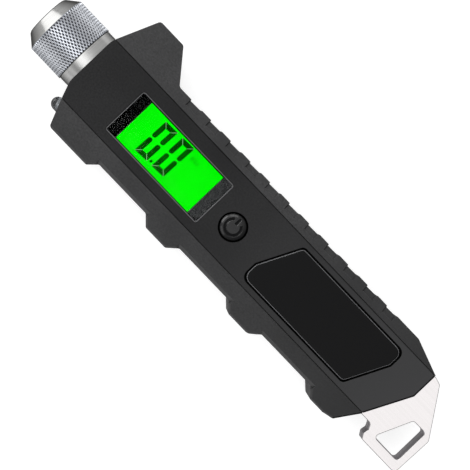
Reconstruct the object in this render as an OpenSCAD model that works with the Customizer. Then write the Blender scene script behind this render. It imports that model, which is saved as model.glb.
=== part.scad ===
// Digital tire pressure gauge, lying on its back with the display up.
// Lengths along the gauge are measured from the flat head end towards the tail,
// sideways places from the axis of the chuck, thumb side positive.

/* [Case] */
// Length from the head end to the tail edge
case_l = 120.7; // [118:0.1:130]
// Depth from the back to the front face
case_d = 25; // [24:0.5:30]
// Width across the two ears of the head
head_w = 40; // [38:0.5:44]
// How much further the thumb-side ear reaches than the finger-side one
ear_lead = 1; // [0:0.1:1.6]
// Width of the flat head end around the chuck
head_flat_w = 14.6; // [14:0.2:17]
// Wall of the two shells
wall = 1.8; // [1.5:0.1:2.2]
// Slope of the long side facets
facet_angle = 40; // [34:1:42]
// Thumb-side edge of the front face
face_thumb = 8.4; // [8:0.1:9.4]
// Finger-side edge of the front face
face_finger = 12; // [11.5:0.1:12.8]
// Thumb-side edge of the back face
back_thumb = 9.9; // [9.7:0.1:10.6]
// Finger-side edge of the back face
back_finger = 14.6; // [14.4:0.1:15.2]
// Distance of the thumb rail from the axis
rail_y = 12; // [12:0.1:13]
// Distance of the finger recesses from the axis
recess_y = 17; // [16.8:0.1:18]
// Length of the sloping shoulders of the head
shoulder_l = 4.5; // [3:0.5:5]
// End of the thumb-side ear
thumb_ear_l = 13.1; // [11:0.1:14]
// Length of the ramp from the thumb-side ear to the rail
thumb_ramp_l = 7.3; // [6:0.1:9]
// End of the finger-side ear
finger_ear_l = 18.1; // [15:0.1:19]
// Length of the ramp from the finger-side ear to the first recess
finger_ramp_l = 2.4; // [2:0.1:4]
// Start of the first finger bump
bump_first = 40.7; // [38:0.1:43]
// Length of the heel from its crest's start to the tail edge
heel_l = 7.5; // [6:0.1:10]
// Length of the cut at the heel's tail corner
heel_cut_l = 2.7; // [1.5:0.1:3.5]
// Height of the cut at the heel's tail corner
heel_cut_h = 0.75; // [0.3:0.05:1.2]
// Length of a finger bump's crest
bump_l = 7.3; // [5:0.1:9]
// Length of a finger bump's ramps
bump_ramp = 2.7; // [2:0.1:4]
// Height of the finger bumps above the recesses
bump_h = 2.6; // [1.5:0.1:2.9]
// Length of the taper at the tail end of the thumb rail
tail_taper_l = 9.7; // [7:0.1:11]
// Place across the tail where its slanted edge starts
tail_corner_y = 0.7; // [0:0.1:3]
// Slant of the tail edge on the finger side
tail_slant = 26.2; // [22:0.2:28]

/* [Thumb serration] */
// First serration groove from the head end
groove_first = 24.9; // [22:0.1:27]
// Distance from one groove to the next
groove_pitch = 7.4; // [6:0.1:7.6]
// Length of a groove
groove_l = 4; // [3:0.1:5]
// Depth of the grooves
groove_d = 0.4; // [0.3:0.05:0.7]
// Plain rail behind the last groove
rail_plain = 8; // [4:0.5:14]

/* [Face] */
// Thickness of the face plate
panel_t = 1.6; // [1.4:0.1:2]
// Thickness of the deck under the face plate
deck_t = 1.6; // [1.2:0.1:1.8]
// Joint between the face plate and the ridges
panel_gap = 0.1; // [0.05:0.05:0.2]
// Start of the display window
window_s = 15; // [14.5:0.1:17]
// Length of the display window
window_l = 33.6; // [31:0.1:34.2]
// Width of the display window
window_w = 13.9; // [12.5:0.1:14.4]
// Middle of the display window across the face
window_y = -2.4; // [-2.8:0.1:-1.9]
// Thickness of the clear lens
lens_t = 1.2; // [0.8:0.1:1.4]
// Width of the dark margin at each end of the lit area
margin_l = 3.5; // [2.5:0.1:4.5]
// Width of the margin at each side of the lit area
margin_w = 0.45; // [0.3:0.05:0.8]
// Plain face between the window and the button
button_lead = 3.5; // [2.5:0.1:5]
// Middle of the button across the face
button_y = -3; // [-5:0.1:1]
// Radius of the button cap
button_r = 3.6; // [3:0.1:3.9]
// Gap round the button cap
button_gap = 0.3; // [0.2:0.05:0.4]
// Height of the button cap above the face
button_proud = 0.4; // [0.2:0.1:0.8]
// Travel of the button
button_travel = 0.6; // [0.3:0.1:0.7]
// Plain face between the button and the black inlay
inlay_lead = 6.8; // [5:0.1:9]
// Plain face between the black inlay and the tail edge
inlay_tail = 10.1; // [8:0.1:12]
// Width of the black inlay
inlay_w = 17.2; // [15:0.1:17.8]
// Length of the inlay's slanted ends
inlay_slant = 5.8; // [3:0.1:7]
// Straight part of the inlay's ends
inlay_end = 5.1; // [3.5:0.1:6]
// Depth of the inlay's recess
inlay_depth = 0.9; // [0.6:0.1:1]
// Thickness of the inlay
inlay_t = 0.8; // [0.4:0.1:0.9]
// Groove left open round the inlay
inlay_gap = 0.45; // [0.3:0.05:0.8]

/* [Chuck] */
// Radius of the sleeve over the knurl
sleeve_r = 9.05; // [8.9:0.05:9.6]
// Length of the sleeve
sleeve_l = 13.7; // [13.2:0.1:16]
// Radius of the sleeve's end face
nose_r = 6.3; // [5.6:0.1:7]
// Length of the tapered nose
nose_l = 3.4; // [2.5:0.05:4]
// Radius of the collar behind the sleeve
collar_r = 8.75; // [8:0.05:8.8]
// Length of the collar
collar_l = 3.3; // [2.5:0.1:6]
// Radius of the socket for the valve stem
socket_r = 4; // [3.95:0.05:4.3]
// Depth of the socket for the valve stem
socket_l = 6.5; // [5.5:0.1:7]
// Lead-in at the mouth of the socket
socket_chamfer = 0.6; // [0.3:0.1:1]
// Radius of the spigot that carries the sleeve
spigot_r = 5.5; // [5.2:0.05:5.6]
// Running clearance of the sleeve on the spigot
spin_clear = 0.05; // [0.03:0.01:0.08]
// Gap between the sleeve and the collar
sleeve_gap = 0.1; // [0.1:0.05:0.4]
// Radius of the neck that the shells clamp
neck_r = 7.4; // [6.4:0.1:7.6]
// Width of the flange behind the neck
flange_w = 0.8; // [0.5:0.1:1.2]
// Radius of the air passage
air_r = 1.3; // [1.1:0.1:1.5]
// Thickness of the valve seal
seal_t = 1.7; // [1.2:0.1:2]
// Radius of the depressor pin's tip
pin_r = 0.8; // [0.6:0.05:0.9]
// Radius of the barb that the tube grips
barb_r = 2; // [1.9:0.1:2.3]
// Wall of the air tube
tube_wall = 1.15; // [0.8:0.05:1.2]

/* [Lamp] */
// Distance of the lamp's axis from the side of the finger ear
lamp_inset = 5.6; // [5:0.1:6.2]
// Radius of the lamp's round nose
lamp_r = 1.9; // [1.5:0.1:2]
// How far the lamp's nose stands out from the head end
lamp_proud = 0.5; // [0.2:0.1:2]

/* [Inside] */
// Thickness of the circuit board
board_t = 1.2; // [0.8:0.1:1.6]
// Thickness of the display glass, both plates
glass_t = 1.8; // [1.4:0.1:2]
// Thickness of the backlight panel
light_t = 1.7; // [1.2:0.1:2]
// Gap between the circuit board and what stands round it
board_clear = 0.6; // [0.4:0.1:1]
// Circuit board behind the middle of the button
board_tail = 8.2; // [6.5:0.1:10]
// Side of the controller chip
chip_w = 9; // [7:0.5:10]
// Thickness of the controller chip
chip_t = 1.4; // [1:0.1:1.6]
// Radius of the case screws
screw_r = 1.25; // [1:0.05:1.4]
// Radius of the case screws' heads
screw_head_r = 2.3; // [1.9:0.1:2.4]

/* [Battery bay] */
// Radius of an AAA cell
cell_r = 5.25; // [5.1:0.05:5.3]
// Length of an AAA cell with its nub
cell_l = 44.5; // [43.5:0.1:44.6]
// Room for a spring and the contact plates beside a cell
spring_room = 5.5; // [5:0.1:6.5]
// Solid tail behind the battery bay
tail_block = 12; // [11:0.1:13]
// Thickness of the battery door
door_t = 1.5; // [1.3:0.1:1.6]
// Width of the door's side tongues
tongue_w = 0.8; // [0.5:0.1:0.9]
// Sliding clearance of the door
door_clear = 0.15; // [0.1:0.05:0.2]
// Wire radius of the battery springs
spring_wire_r = 0.35; // [0.3:0.05:0.4]
// Turns of a battery spring
spring_turns = 4; // [3:1:5]

/* [Tail loop] */
// Thickness of the steel plate
loop_t = 7; // [5:0.1:8]
// How far the loop stands out from the tail edge
loop_reach = 13.2; // [12:0.1:16]
// Width of the loop's end rim
loop_rim = 2.2; // [1.6:0.1:2.6]
// Width of the loop's side rim by the claw
claw_rim = 2.8; // [2.2:0.1:3.2]
// Finger-side edge of the loop
loop_side_y = -17.1; // [-17.6:0.1:-16.6]
// Height of the hook notch and its claw
claw_h = 4.6; // [4.4:0.1:5.6]
// Thumb-side edge of the tang inside the case
tang_high_y = 6.6; // [6:0.1:7.2]

/* [Hidden] */

$fn = 64;
// Steps in a rounded corner
arc_steps = 4;
// Overlap of a cut past the face that it starts from
cut = 1;
// Small gap between pieces that seat on each other
seat = 0.05;

// Where the head end lies, with the whole gauge centred on the origin
mouth_s = -(collar_l + sleeve_l);
total_l = case_l + loop_reach - mouth_s;
head_x = -total_l / 2 - mouth_s;

// Heights
axis_z = case_d / 2;
panel_z = case_d - panel_t;
deck_z = panel_z - deck_t;
glass_gap = 0.2;
glass_z = deck_z - glass_gap - glass_t;
board_z = glass_z - light_t - board_t;
board_top = board_z + board_t;
slant = tan(tail_slant);
facet = tan(facet_angle);
wall_rise = wall / cos(facet_angle);

// Corner radii of the case outline
end_r = 0.4;
brow_r = 6;
ear_r = 1;
ramp_r = 1.2;
bump_r = 0.8;
lee_r = 2;

// Crest of the finger bumps, and the reach of the two ears
crest_y = recess_y + bump_h;
thumb_ear_y = (head_w + ear_lead) / 2;
finger_ear_y = (head_w - ear_lead) / 2;
flat_y = head_flat_w / 2;

// Place along the tail's slanted edge at a given place across it
function tail_at(y) = case_l - (tail_corner_y - y) * slant;

// Two finger bumps and the heel, evenly spaced
heel_bump = tail_at(-crest_y) - heel_l;
bump_pitch = (heel_bump - bump_first) / 2;

// Place along the inner face of the head's shoulder at a given distance from the axis
shoulder_run = shoulder_l / (finger_ear_y - flat_y);
function shoulder_inner(y) = (y - flat_y) * shoulder_run + wall * norm([shoulder_run, 1]);

// Straight part of the thumb rail, and the grooves that it has room for
rail_end = case_l - tail_taper_l;
groove_count = 1 + floor((rail_end - rail_plain - groove_l - groove_first) / groove_pitch);

// Corners of a finger bump that starts at a given place, with the radius of its crest's tail end
function bump(start, tail_r) = [
    [start - bump_ramp, -recess_y, bump_r],
    [start, -crest_y, bump_r],
    [start + bump_l, -crest_y, tail_r],
    [start + bump_l + bump_ramp, -recess_y, bump_r]
];

// Battery bay and its door
cell_gap = 0.2;
bay_clear = 0.4;
bay_wall = 1.2;
bay_side = 1;
bay_half = 2 * cell_r + cell_gap / 2 + bay_clear;
bay_y = (back_thumb - back_finger) / 2;
bay_l = cell_l + spring_room;
bay_end = case_l - tail_block;
bay_s = bay_end - bay_l;
door_low = 0.1;
door_top = door_low + door_t;
lip_t = 0.7;
door_step = 0.35;
door_lap = 0.5;
door_half = bay_half - door_step;
door_s = bay_s - door_lap;
cell_z = door_top + door_clear + cell_r;
bay_top = cell_z + cell_r + cell_gap;
cell_pitch = cell_r + cell_gap / 2;
plate_t = 0.4;
tab_w = 2.4;
tab_clear = 0.1;

// The hollow of both shells ends at the solid tail
tail_s = bay_end + bay_wall;

// Lamp
lamp_y = lamp_inset - finger_ear_y;
lamp_clear = 0.1;
lamp_flange_w = 0.5;
lamp_flange_r = lamp_r + lamp_flange_w;
lamp_flange_t = 0.9;
lamp_flange_s = shoulder_inner(lamp_flange_r - lamp_y) + seat;
lamp_rib_s = lamp_flange_s + lamp_flange_t + seat;
lamp_rib_t = 1;
lamp_rib_w = 6;

// Chuck's seat between the shells
flange_t = 2;
flange_r = neck_r + flange_w;
flange_s = max(wall, shoulder_inner(flange_r)) + seat;
rib_s = flange_s + flange_t + seat;
rib_t = 1.4;
rib_lap = 2.2;
rib_y = flange_r + rib_lap;
shank_wall = 1;
shank_r = barb_r + shank_wall;

// Case screws
head_screw_s = 9.4;
lamp_screw_gap = 5.4;
head_screws = [[head_screw_s, 7], [head_screw_s, lamp_y + lamp_screw_gap]];
tail_screws = [[case_l - 6, 4.5], [case_l - 7.3, -7]];
boss_wall = 1.1;
boss_r = screw_head_r + boss_wall;
screw_clear = 0.15;
screw_hole_r = screw_r + screw_clear;
sink_r = screw_head_r + screw_clear;
screw_fit = 0.02;
screw_head_t = 1.6;
head_seat_z = 3;
tail_seat_z = door_top + 2.6;
screw_roof = 2;
screw_tip_z = deck_z - screw_roof;

// Display and button, in a row along the face
glass_rim = 0.4;
ledge_w = 1.3;
view_s = window_s + window_l / 2;
view_l = window_l - 2 * margin_l;
view_w = window_w - 2 * margin_w;
glass_half = view_w / 2 + glass_rim + ledge_w;
button_hole_r = button_r + button_gap;
button_s = window_s + window_l + button_lead + button_hole_r;

// Circuit board between the screw bosses and the side walls, and its two screws
board_s = head_screw_s + boss_r + board_clear;
board_end = button_s + board_tail;
board_low_y = wall + board_clear - recess_y;
board_high_y = rail_y - wall - board_clear;
board_screw_r = 0.9;
board_boss_r = 1.9;
board_boss_gap = 0.2;
board_screws_at = [
    [board_s + 2, window_y + glass_half + board_boss_gap + board_boss_r],
    [button_s - 4.2, board_low_y + 2.4]
];

// Pegs of the face plate, two by the button and two by the tail
peg_r = 1;
peg_y = [5, -9];
pegs = [for (s = [button_s + 6, tail_s - 5], y = peg_y) [s, y]];

// Tail loop
loop_z = axis_z - loop_t / 2;
tang_s = tail_s + 1.4;
tang_clear = 0.1;
tang_low_y = loop_side_y + claw_h;
loop_end = case_l + loop_reach;
claw_s = case_l + 0.3;
hole_low = loop_side_y + claw_rim;
hole_high = -3.8;
hole_end = loop_end - loop_rim;

head_finger = [
    [0, -flat_y, brow_r],
    [shoulder_l, -finger_ear_y, ear_r],
    [finger_ear_l, -finger_ear_y, bump_r],
    [finger_ear_l + finger_ramp_l, -recess_y, bump_r]
];
thumb_side = [
    [case_l, tail_corner_y, end_r],
    [case_l, face_thumb, end_r],
    [rail_end, rail_y, bump_r],
    [thumb_ear_l + thumb_ramp_l, rail_y, ramp_r],
    [thumb_ear_l, thumb_ear_y, ear_r],
    [shoulder_l, thumb_ear_y, ear_r],
    [0, flat_y, brow_r]
];
heel = [
    [heel_bump - bump_ramp, -recess_y, bump_r],
    [heel_bump, -crest_y, bump_r],
    [tail_at(-crest_y) - heel_cut_l, -crest_y, bump_r],
    [tail_at(heel_cut_h - crest_y), heel_cut_h - crest_y, end_r]
];
finger_side = concat(bump(bump_first, bump_r), bump(bump_first + bump_pitch, lee_r), heel);
case_corners = concat(head_finger, finger_side, thumb_side);
core_corners = concat(head_finger, [[tail_at(-recess_y), -recess_y, 0]], thumb_side);

// Plain geometry
function unit(v) = v / norm(v);
function left_of(v) = unit([-v[1], v[0]]);
function flat_points(corners) = [for (c = corners) [c[0], c[1]]];
function short_turn(a) = a > 180 ? a - 360 : a < -180 ? a + 360 : a;

// An outline that runs anticlockwise, with its sides moved inwards by d
function inset(points, d) = let (n = len(points)) [
    for (i = [0 : n - 1])
        let (a = left_of(points[i] - points[(i + n - 1) % n]), b = left_of(points[(i + 1) % n] - points[i]))
            points[i] + d * (a + b) / (1 + a * b)
];

// One corner as an arc of radius r
function arc(a, b, c, r) = r <= 0 ? [b] : let (
    u = unit(a - b),
    w = unit(c - b),
    half = acos(u * w) / 2,
    middle = b + unit(u + w) * r / sin(half),
    p = b + u * r / tan(half) - middle,
    q = b + w * r / tan(half) - middle,
    start = atan2(p[1], p[0]),
    turn = short_turn(atan2(q[1], q[0]) - start)
) [for (k = [0 : arc_steps]) let (t = start + turn * k / arc_steps) middle + r * [cos(t), sin(t)]];

// An outline with its corners rounded, each corner given as place along, place across, radius
function rounded(corners) = let (p = flat_points(corners), n = len(p)) [
    for (i = [0 : n - 1], point = arc(p[(i + n - 1) % n], p[i], p[(i + 1) % n], corners[i][2])) point
];

// A rectangle with rounded corners
function round_box(l, w, r) = rounded([
    [-l / 2, -w / 2, r], [l / 2, -w / 2, r], [l / 2, w / 2, r], [-l / 2, w / 2, r]
]);

// Half widths and heights of the facets, moved inwards by a rise measured upright
function upper_y(edge, rise, z) = edge + (case_d - rise - z) / facet;
function lower_y(edge, rise, z) = edge + (z - rise) / facet;
function upper_z(edge, rise, y) = case_d - rise - (y - edge) * facet;

// Cross-sections between two heights: one narrows upwards, the other downwards
function upper_section(rise, bottom, top) = [
    [-upper_y(face_finger, rise, bottom), bottom],
    [upper_y(face_thumb, rise, bottom), bottom],
    [upper_y(face_thumb, rise, top), top],
    [-upper_y(face_finger, rise, top), top]
];
function lower_section(rise, bottom, top) = [
    [-lower_y(back_finger, rise, bottom), bottom],
    [lower_y(back_thumb, rise, bottom), bottom],
    [lower_y(back_thumb, rise, top), top],
    [-lower_y(back_finger, rise, top), top]
];

module placed() translate([head_x, 0, 0]) children();

// A cross-section drawn along the gauge
module along(from, to) translate([from, 0, 0]) rotate([90, 0, 90]) linear_extrude(to - from) children();

// A plan drawn upwards
module upright(from, to) translate([0, 0, from]) linear_extrude(to - from) children();

// A round rod on an axis along the gauge
module rod(from, to, r, y = 0) translate([from, y, axis_z]) rotate([0, 90, 0]) cylinder(h = to - from, r = r);

// A piece turned about the chuck's axis, its profile given as place along, radius
module turned(profile) translate([0, 0, axis_z]) rotate([0, 90, 0]) rotate_extrude()
    polygon([for (p = profile) [p[1], p[0]]]);

// A box between two corners
module block(a, b) translate(a) cube(b - a);

// The four long facets
module faceted(from, to, rise, bottom, top) intersection() {
    along(from, to) polygon(upper_section(rise, bottom, top));
    along(from, to) polygon(lower_section(rise, bottom, top));
}

// The serration grooves cut the rail's side and the edge of its upper facet
groove_ramp = 0.6;
groove_reach = 2;
groove_sink = 0.5;
module serration_cuts() {
    foot_y = rail_y - groove_d;
    reach_y = rail_y - groove_reach;
    far = rail_y + cut;
    intersection() {
        for (i = [0 : groove_count - 1])
            let (s = groove_first + i * groove_pitch)
                upright(-cut, case_d + cut) polygon([
                    [s, reach_y - cut], [s + groove_l - groove_ramp, reach_y - cut],
                    [s + groove_l - groove_ramp, foot_y], [s + groove_l, rail_y],
                    [s + groove_l, far], [s, far]
                ]);
        along(0, case_l) polygon([
            [foot_y, 0],
            [far, 0],
            [far, case_d],
            [reach_y, case_d],
            [reach_y, upper_z(face_thumb, groove_sink, reach_y)],
            [foot_y, upper_z(face_thumb, groove_sink, foot_y)]
        ]);
    }
}

// A light chamfer runs along the upper edge of each finger recess
chamfer_w = 0.9;
chamfer_drop = 1.6;
module recess_chamfers() {
    edge_z = upper_z(face_finger, 0, recess_y);
    starts = [finger_ear_l + finger_ramp_l, bump_first + bump_l + bump_ramp,
        bump_first + bump_pitch + bump_l + bump_ramp];
    ends = [for (i = [0 : 2]) bump_first + i * bump_pitch - bump_ramp];
    for (i = [0 : 2])
        along(starts[i] - bump_r, ends[i] + bump_r) polygon([
            [-recess_y + chamfer_w, upper_z(face_finger, 0, recess_y - chamfer_w)],
            [-recess_y, edge_z - chamfer_drop],
            [-recess_y - chamfer_w, edge_z - chamfer_drop],
            [-recess_y - chamfer_w, edge_z + chamfer_w]
        ]);
}

// A smaller chamfer follows the finger ear, the bumps, their ramps and the tail edge: a prism along each edge
edge_chamfer_w = 0.5;
edge_chamfer_drop = 0.7;
tail_chamfer_past = 0.3;
module edge_chamfer(a, b, past = 0) {
    function facet_z(p) = min(case_d, upper_z(face_finger, 0, -p[1]));
    run = [b[0] - a[0], b[1] - a[1], facet_z(b) - facet_z(a)];
    pitch = asin(run[2] / norm(run));
    rise = facet_z(a + left_of(b - a) * edge_chamfer_w) - facet_z(a);
    translate([a[0], a[1], facet_z(a)])
        rotate([0, -pitch, atan2(run[1], run[0])])
            along(-past, norm(run) + past) polygon([
                [edge_chamfer_w, rise * cos(pitch)],
                [0, -edge_chamfer_drop * cos(pitch)],
                [-edge_chamfer_w, (rise + edge_chamfer_drop) * cos(pitch)]
            ]);
}
module bump_chamfers() {
    edge = flat_points(concat([head_finger[1], head_finger[2], head_finger[3]], finger_side));
    for (i = [0 : len(edge) - 2])
        if (edge[i][1] != -recess_y || edge[i + 1][1] != -recess_y) edge_chamfer(edge[i], edge[i + 1]);
}
module tail_chamfers() {
    ridge_end = [tail_at(-face_finger), -face_finger];
    edge = flat_points([heel[len(heel) - 1], ridge_end, thumb_side[0], thumb_side[1]]);
    for (i = [0 : len(edge) - 2]) edge_chamfer(edge[i], edge[i + 1], tail_chamfer_past);
}

module case_block(bottom, top) difference() {
    intersection() {
        upright(bottom, top) polygon(rounded(case_corners));
        faceted(-cut, case_l + cut, 0, 0, case_d);
    }
    serration_cuts();
    recess_chamfers();
    bump_chamfers();
    tail_chamfers();
}

module case_hollow(end) intersection() {
    upright(0, case_d) polygon(inset(flat_points(core_corners), wall));
    faceted(0, end, wall_rise, wall, deck_z);
}

// Ribs that hold the chuck's flange and the lamp
module ribs(bottom, top) difference() {
    union() {
        block([rib_s, -rib_y, bottom], [rib_s + rib_t, rib_y, top]);
        block([lamp_rib_s, lamp_y - lamp_rib_w / 2, bottom],
            [lamp_rib_s + lamp_rib_t, lamp_y + lamp_rib_w / 2, top]);
    }
    rod(rib_s - cut, rib_s + rib_t + cut, shank_r + seat);
    rod(lamp_rib_s - cut, lamp_rib_s + lamp_rib_t + cut, lamp_r, lamp_y);
}

// What both halves are cut out for
module shell_cuts() {
    rod(-cut, rib_s, neck_r + seat);
    rod(-cut, lamp_flange_s, lamp_r + lamp_clear, lamp_y);
    block([tang_s - tang_clear, tang_low_y - tang_clear, loop_z - tang_clear],
        [case_l + cut, tang_high_y + tang_clear, loop_z + loop_t + tang_clear]);
}

// A round hole or post at each of several places
module posts(places, from, to, r) for (p = places)
    translate([p[0], p[1], from]) cylinder(h = to - from, r = r);

module front_shell() color("#3c3c3e") placed() difference() {
    deck_mid = deck_z + deck_t / 2;
    union() {
        difference() {
            case_block(axis_z, case_d);
            case_hollow(tail_s + seat);
            block([-cut, -face_finger, panel_z], [case_l + cut, face_thumb, case_d + cut]);
        }
        intersection() {
            ribs(axis_z, deck_mid);
            case_block(axis_z, case_d);
        }
        posts(head_screws, axis_z, deck_mid, boss_r);
        posts(board_screws_at, board_top, deck_mid, board_boss_r);
    }
    shell_cuts();
    posts(concat(head_screws, tail_screws), axis_z - cut, screw_tip_z + screw_roof / 2, screw_r + screw_fit);
    posts(board_screws_at, board_top - cut, deck_z, board_screw_r + screw_fit);
    block([view_s - view_l / 2, window_y - view_w / 2, deck_z - cut],
        [view_s + view_l / 2, window_y + view_w / 2, panel_z + cut]);
    posts([[button_s, button_y]], deck_z - cut, panel_z + cut, button_hole_r);
    posts(pegs, deck_z - cut, panel_z + cut, peg_r + seat);
}

// Slot for the door: its width between the lips, and the grooves for its tongues
module door_slot() {
    slide = tongue_w + door_clear;
    block([door_s - door_clear, bay_y - door_half - door_clear, -cut],
        [case_l + cut, bay_y + door_half + door_clear, door_top + door_clear]);
    block([door_s - door_clear, bay_y - door_half - slide, lip_t],
        [case_l + cut, bay_y + door_half + slide, door_top + door_clear]);
}

module rear_shell() color("#333335") placed() difference() {
    union() {
        difference() {
            case_block(0, axis_z);
            case_hollow(tail_s);
        }
        intersection() {
            ribs(wall / 2, axis_z);
            case_block(0, axis_z);
        }
        posts(head_screws, wall / 2, axis_z, boss_r);
        block([bay_s - bay_wall, bay_y - bay_half - bay_side, wall / 2],
            [tail_s, bay_y + bay_half + bay_side, bay_top + bay_side]);
    }
    shell_cuts();
    block([bay_s, bay_y - bay_half, -cut], [bay_end, bay_y + bay_half, bay_top]);
    door_slot();
    for (side = [-1, 1])
        let (y = bay_y + side * cell_pitch, half = tab_w / 2 + tab_clear)
            block([bay_s, y - half, bay_top - cut],
                [bay_s + plate_t + tab_clear, y + half, bay_top + bay_side + cut]);
    posts(head_screws, -cut, head_seat_z, sink_r);
    posts(tail_screws, 0, tail_seat_z, sink_r);
    posts(concat(head_screws, tail_screws), 0, axis_z + cut, screw_hole_r);
}

// Finger ribs across the door, near its tail end
grip_pitch = 2.2;
grip_count = 5;
grip_cut = 0.5;
grip_half = 6;
grip_s = tail_s - 6;
module battery_door() color("#2f2f31") placed() difference() {
    intersection() {
        upright(door_low, door_top) polygon(rounded(core_corners));
        union() {
            block([door_s, bay_y - door_half, 0], [case_l + cut, bay_y + door_half, door_top]);
            block([door_s, bay_y - door_half - tongue_w, lip_t + door_clear],
                [case_l + cut, bay_y + door_half + tongue_w, door_top]);
        }
        faceted(0, case_l + cut, 0, 0, case_d);
    }
    for (i = [0 : grip_count - 1])
        let (s = grip_s - i * grip_pitch)
            block([s, bay_y - grip_half, -cut], [s + grip_pitch / 2, bay_y + grip_half, door_low + grip_cut]);
}

// Face plate, lens and inlay
window_r = 0.8;
lens_fit = 0.1;
module face_strip(gap) intersection() {
    upright(panel_z, case_d) polygon(rounded(core_corners));
    block([-cut, -face_finger + gap, panel_z], [case_l + cut, face_thumb - gap, case_d]);
}

// Outline of the inlay, the same when turned half round
inlay_r = 2.1;
inlay_tip_r = 1.4;
inlay_s = button_s + button_hole_r + inlay_lead;
inlay_l = case_l - inlay_tail - inlay_s;
inlay_mid = [inlay_s + inlay_l / 2, (face_thumb - face_finger) / 2, 0];
function half_inlay() = let (h = inlay_w / 2, e = inlay_l / 2) [
    [-e, -h, inlay_r], [e - inlay_slant, -h, inlay_tip_r], [e, h - inlay_end, inlay_tip_r]
];
function inlay_outline(gap) = let (
    corners = concat(half_inlay(), [for (c = half_inlay()) [-c[0], -c[1], c[2]]]),
    p = inset(flat_points(corners), gap)
) rounded([for (i = [0 : len(p) - 1]) [p[i][0], p[i][1], corners[i][2]]]);

module front_panel() color("#343436") placed() difference() {
    union() {
        face_strip(panel_gap);
        posts(pegs, deck_z, panel_z + panel_t / 2, peg_r);
    }
    translate([view_s, window_y, 0]) upright(panel_z - cut, case_d + cut)
        polygon(round_box(window_l, window_w, window_r));
    posts([[button_s, button_y]], panel_z - cut, case_d + cut, button_hole_r);
    translate(inlay_mid) upright(case_d - inlay_depth, case_d + cut) polygon(inlay_outline(0));
    tail_chamfers();
}

module display_lens() color("#50555a") placed() translate([view_s, window_y, 0])
    upright(panel_z, panel_z + lens_t)
        polygon(round_box(window_l - 2 * lens_fit, window_w - 2 * lens_fit, window_r - lens_fit));

module inlay_plate() color("#1a1a1c") placed() translate(inlay_mid)
    upright(case_d - inlay_depth, case_d - inlay_depth + inlay_t) polygon(inlay_outline(inlay_gap));

// Radii of the loop's corners
tang_r = 0.6;
notch_r = 0.8;
rim_r = 1.4;
hole_r = 0.9;
// Hook notch: its height, how far inside the tail edge it starts and ends, and the claw's tip
notch_h = 3.2;
notch_in = 1.2;
notch_deep = 0.4;
claw_tip = 0.65;
claw_r = 0.4;
// Lean of the end rim, and the joint between the loop and the tail edge
rim_lean = 0.3;
loop_joint = 0.15;
// Crown of the loop, where its slanted top starts
crown = [[case_l + 4.2, face_thumb - 0.5, 1], [case_l + 2.1, face_thumb + 0.1, notch_r]];
// Start of the lanyard hole behind the claw, and the slant of its thumb-side end
hole_s = claw_s + 1.6;
hole_slant = 4.6;

// Outer edge of the loop: tang, hook notch, claw, end rim, crown, shoulder
loop_corners = concat([
    [tang_s, tang_low_y, tang_r],
    [case_l - notch_in, tang_low_y, 1],
    [case_l - notch_deep, tang_low_y - notch_h / 2, notch_r],
    [case_l - claw_tip, tang_low_y - notch_h, notch_r],
    [claw_s, loop_side_y, claw_r],
    [loop_end - rim_lean, loop_side_y, rim_r],
    [loop_end, hole_high - hole_r, rim_r]
], crown, [
    [case_l + loop_joint, crown[1][1] - loop_joint / 2, loop_joint],
    [case_l + loop_joint, tang_high_y, 0],
    [tang_s, tang_high_y, tang_r]
]);
hole_corners = [
    [hole_s, hole_low, hole_r], [hole_end, hole_low, hole_r],
    [hole_end, hole_high, hole_r], [hole_end - hole_slant, hole_high, hole_r]
];
tang_hole_clear = 0.4;
tang_hole_r = screw_r + tang_hole_clear;
module tail_loop() color("#d9d9dc") placed() difference() {
    upright(loop_z, loop_z + loop_t) polygon(rounded(loop_corners));
    upright(loop_z - cut, loop_z + loop_t + cut) polygon(rounded(hole_corners));
    posts(tail_screws, loop_z - cut, loop_z + loop_t + cut, tang_hole_r);
}

// Chuck: the sleeve turns on the spigot and is kept there by the ring
ring_back = 2.8;
ring_t = 1.2;
ring_in = 0.7;
ring_out = 0.9;
ring_s = -collar_l - ring_back;
ring_groove_r = spigot_r - ring_in;
ring_pocket_r = spigot_r + ring_out;
ring_clear = 0.05;
ring_gap = 2.4;
seal_clear = 0.2;
seal_s = mouth_s + socket_l + seal_clear;
spigot_s = seal_s + seal_t;
barb_l = 5;
barb_tip = 1;
barb_taper = 0.4;
barb_s = rib_s + rib_t + barb_taper;
sleeve_chamfer = 0.15;

module chuck_body() color("#c9cbce") placed() difference() {
    turned([
        [spigot_s, 0], [spigot_s, spigot_r], [ring_s, spigot_r], [ring_s, ring_groove_r],
        [ring_s + ring_t, ring_groove_r], [ring_s + ring_t, spigot_r], [-collar_l + sleeve_gap, spigot_r],
        [-collar_l + sleeve_gap, collar_r - sleeve_chamfer],
        [-collar_l + sleeve_gap + sleeve_chamfer, collar_r],
        [-seat, collar_r], [-seat, neck_r], [flange_s, neck_r], [flange_s, flange_r],
        [flange_s + flange_t, flange_r], [flange_s + flange_t, shank_r], [barb_s, shank_r], [barb_s, barb_r],
        [barb_s + barb_l - barb_tip, barb_r], [barb_s + barb_l, barb_r - barb_taper], [barb_s + barb_l, 0]
    ]);
    rod(spigot_s - cut, barb_s + barb_l + cut, air_r);
}

module chuck_sleeve() color("#d2d4d6") placed() turned([
    [mouth_s, socket_r + socket_chamfer], [mouth_s, nose_r], [mouth_s + nose_l, sleeve_r],
    [-collar_l - sleeve_chamfer, sleeve_r], [-collar_l, sleeve_r - sleeve_chamfer],
    [-collar_l, spigot_r + spin_clear], [ring_s + ring_t, spigot_r + spin_clear],
    [ring_s + ring_t, ring_pocket_r], [ring_s, ring_pocket_r], [ring_s, spigot_r + spin_clear],
    [mouth_s + socket_l, spigot_r + spin_clear], [mouth_s + socket_l, socket_r],
    [mouth_s + socket_chamfer, socket_r]
]);

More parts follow.
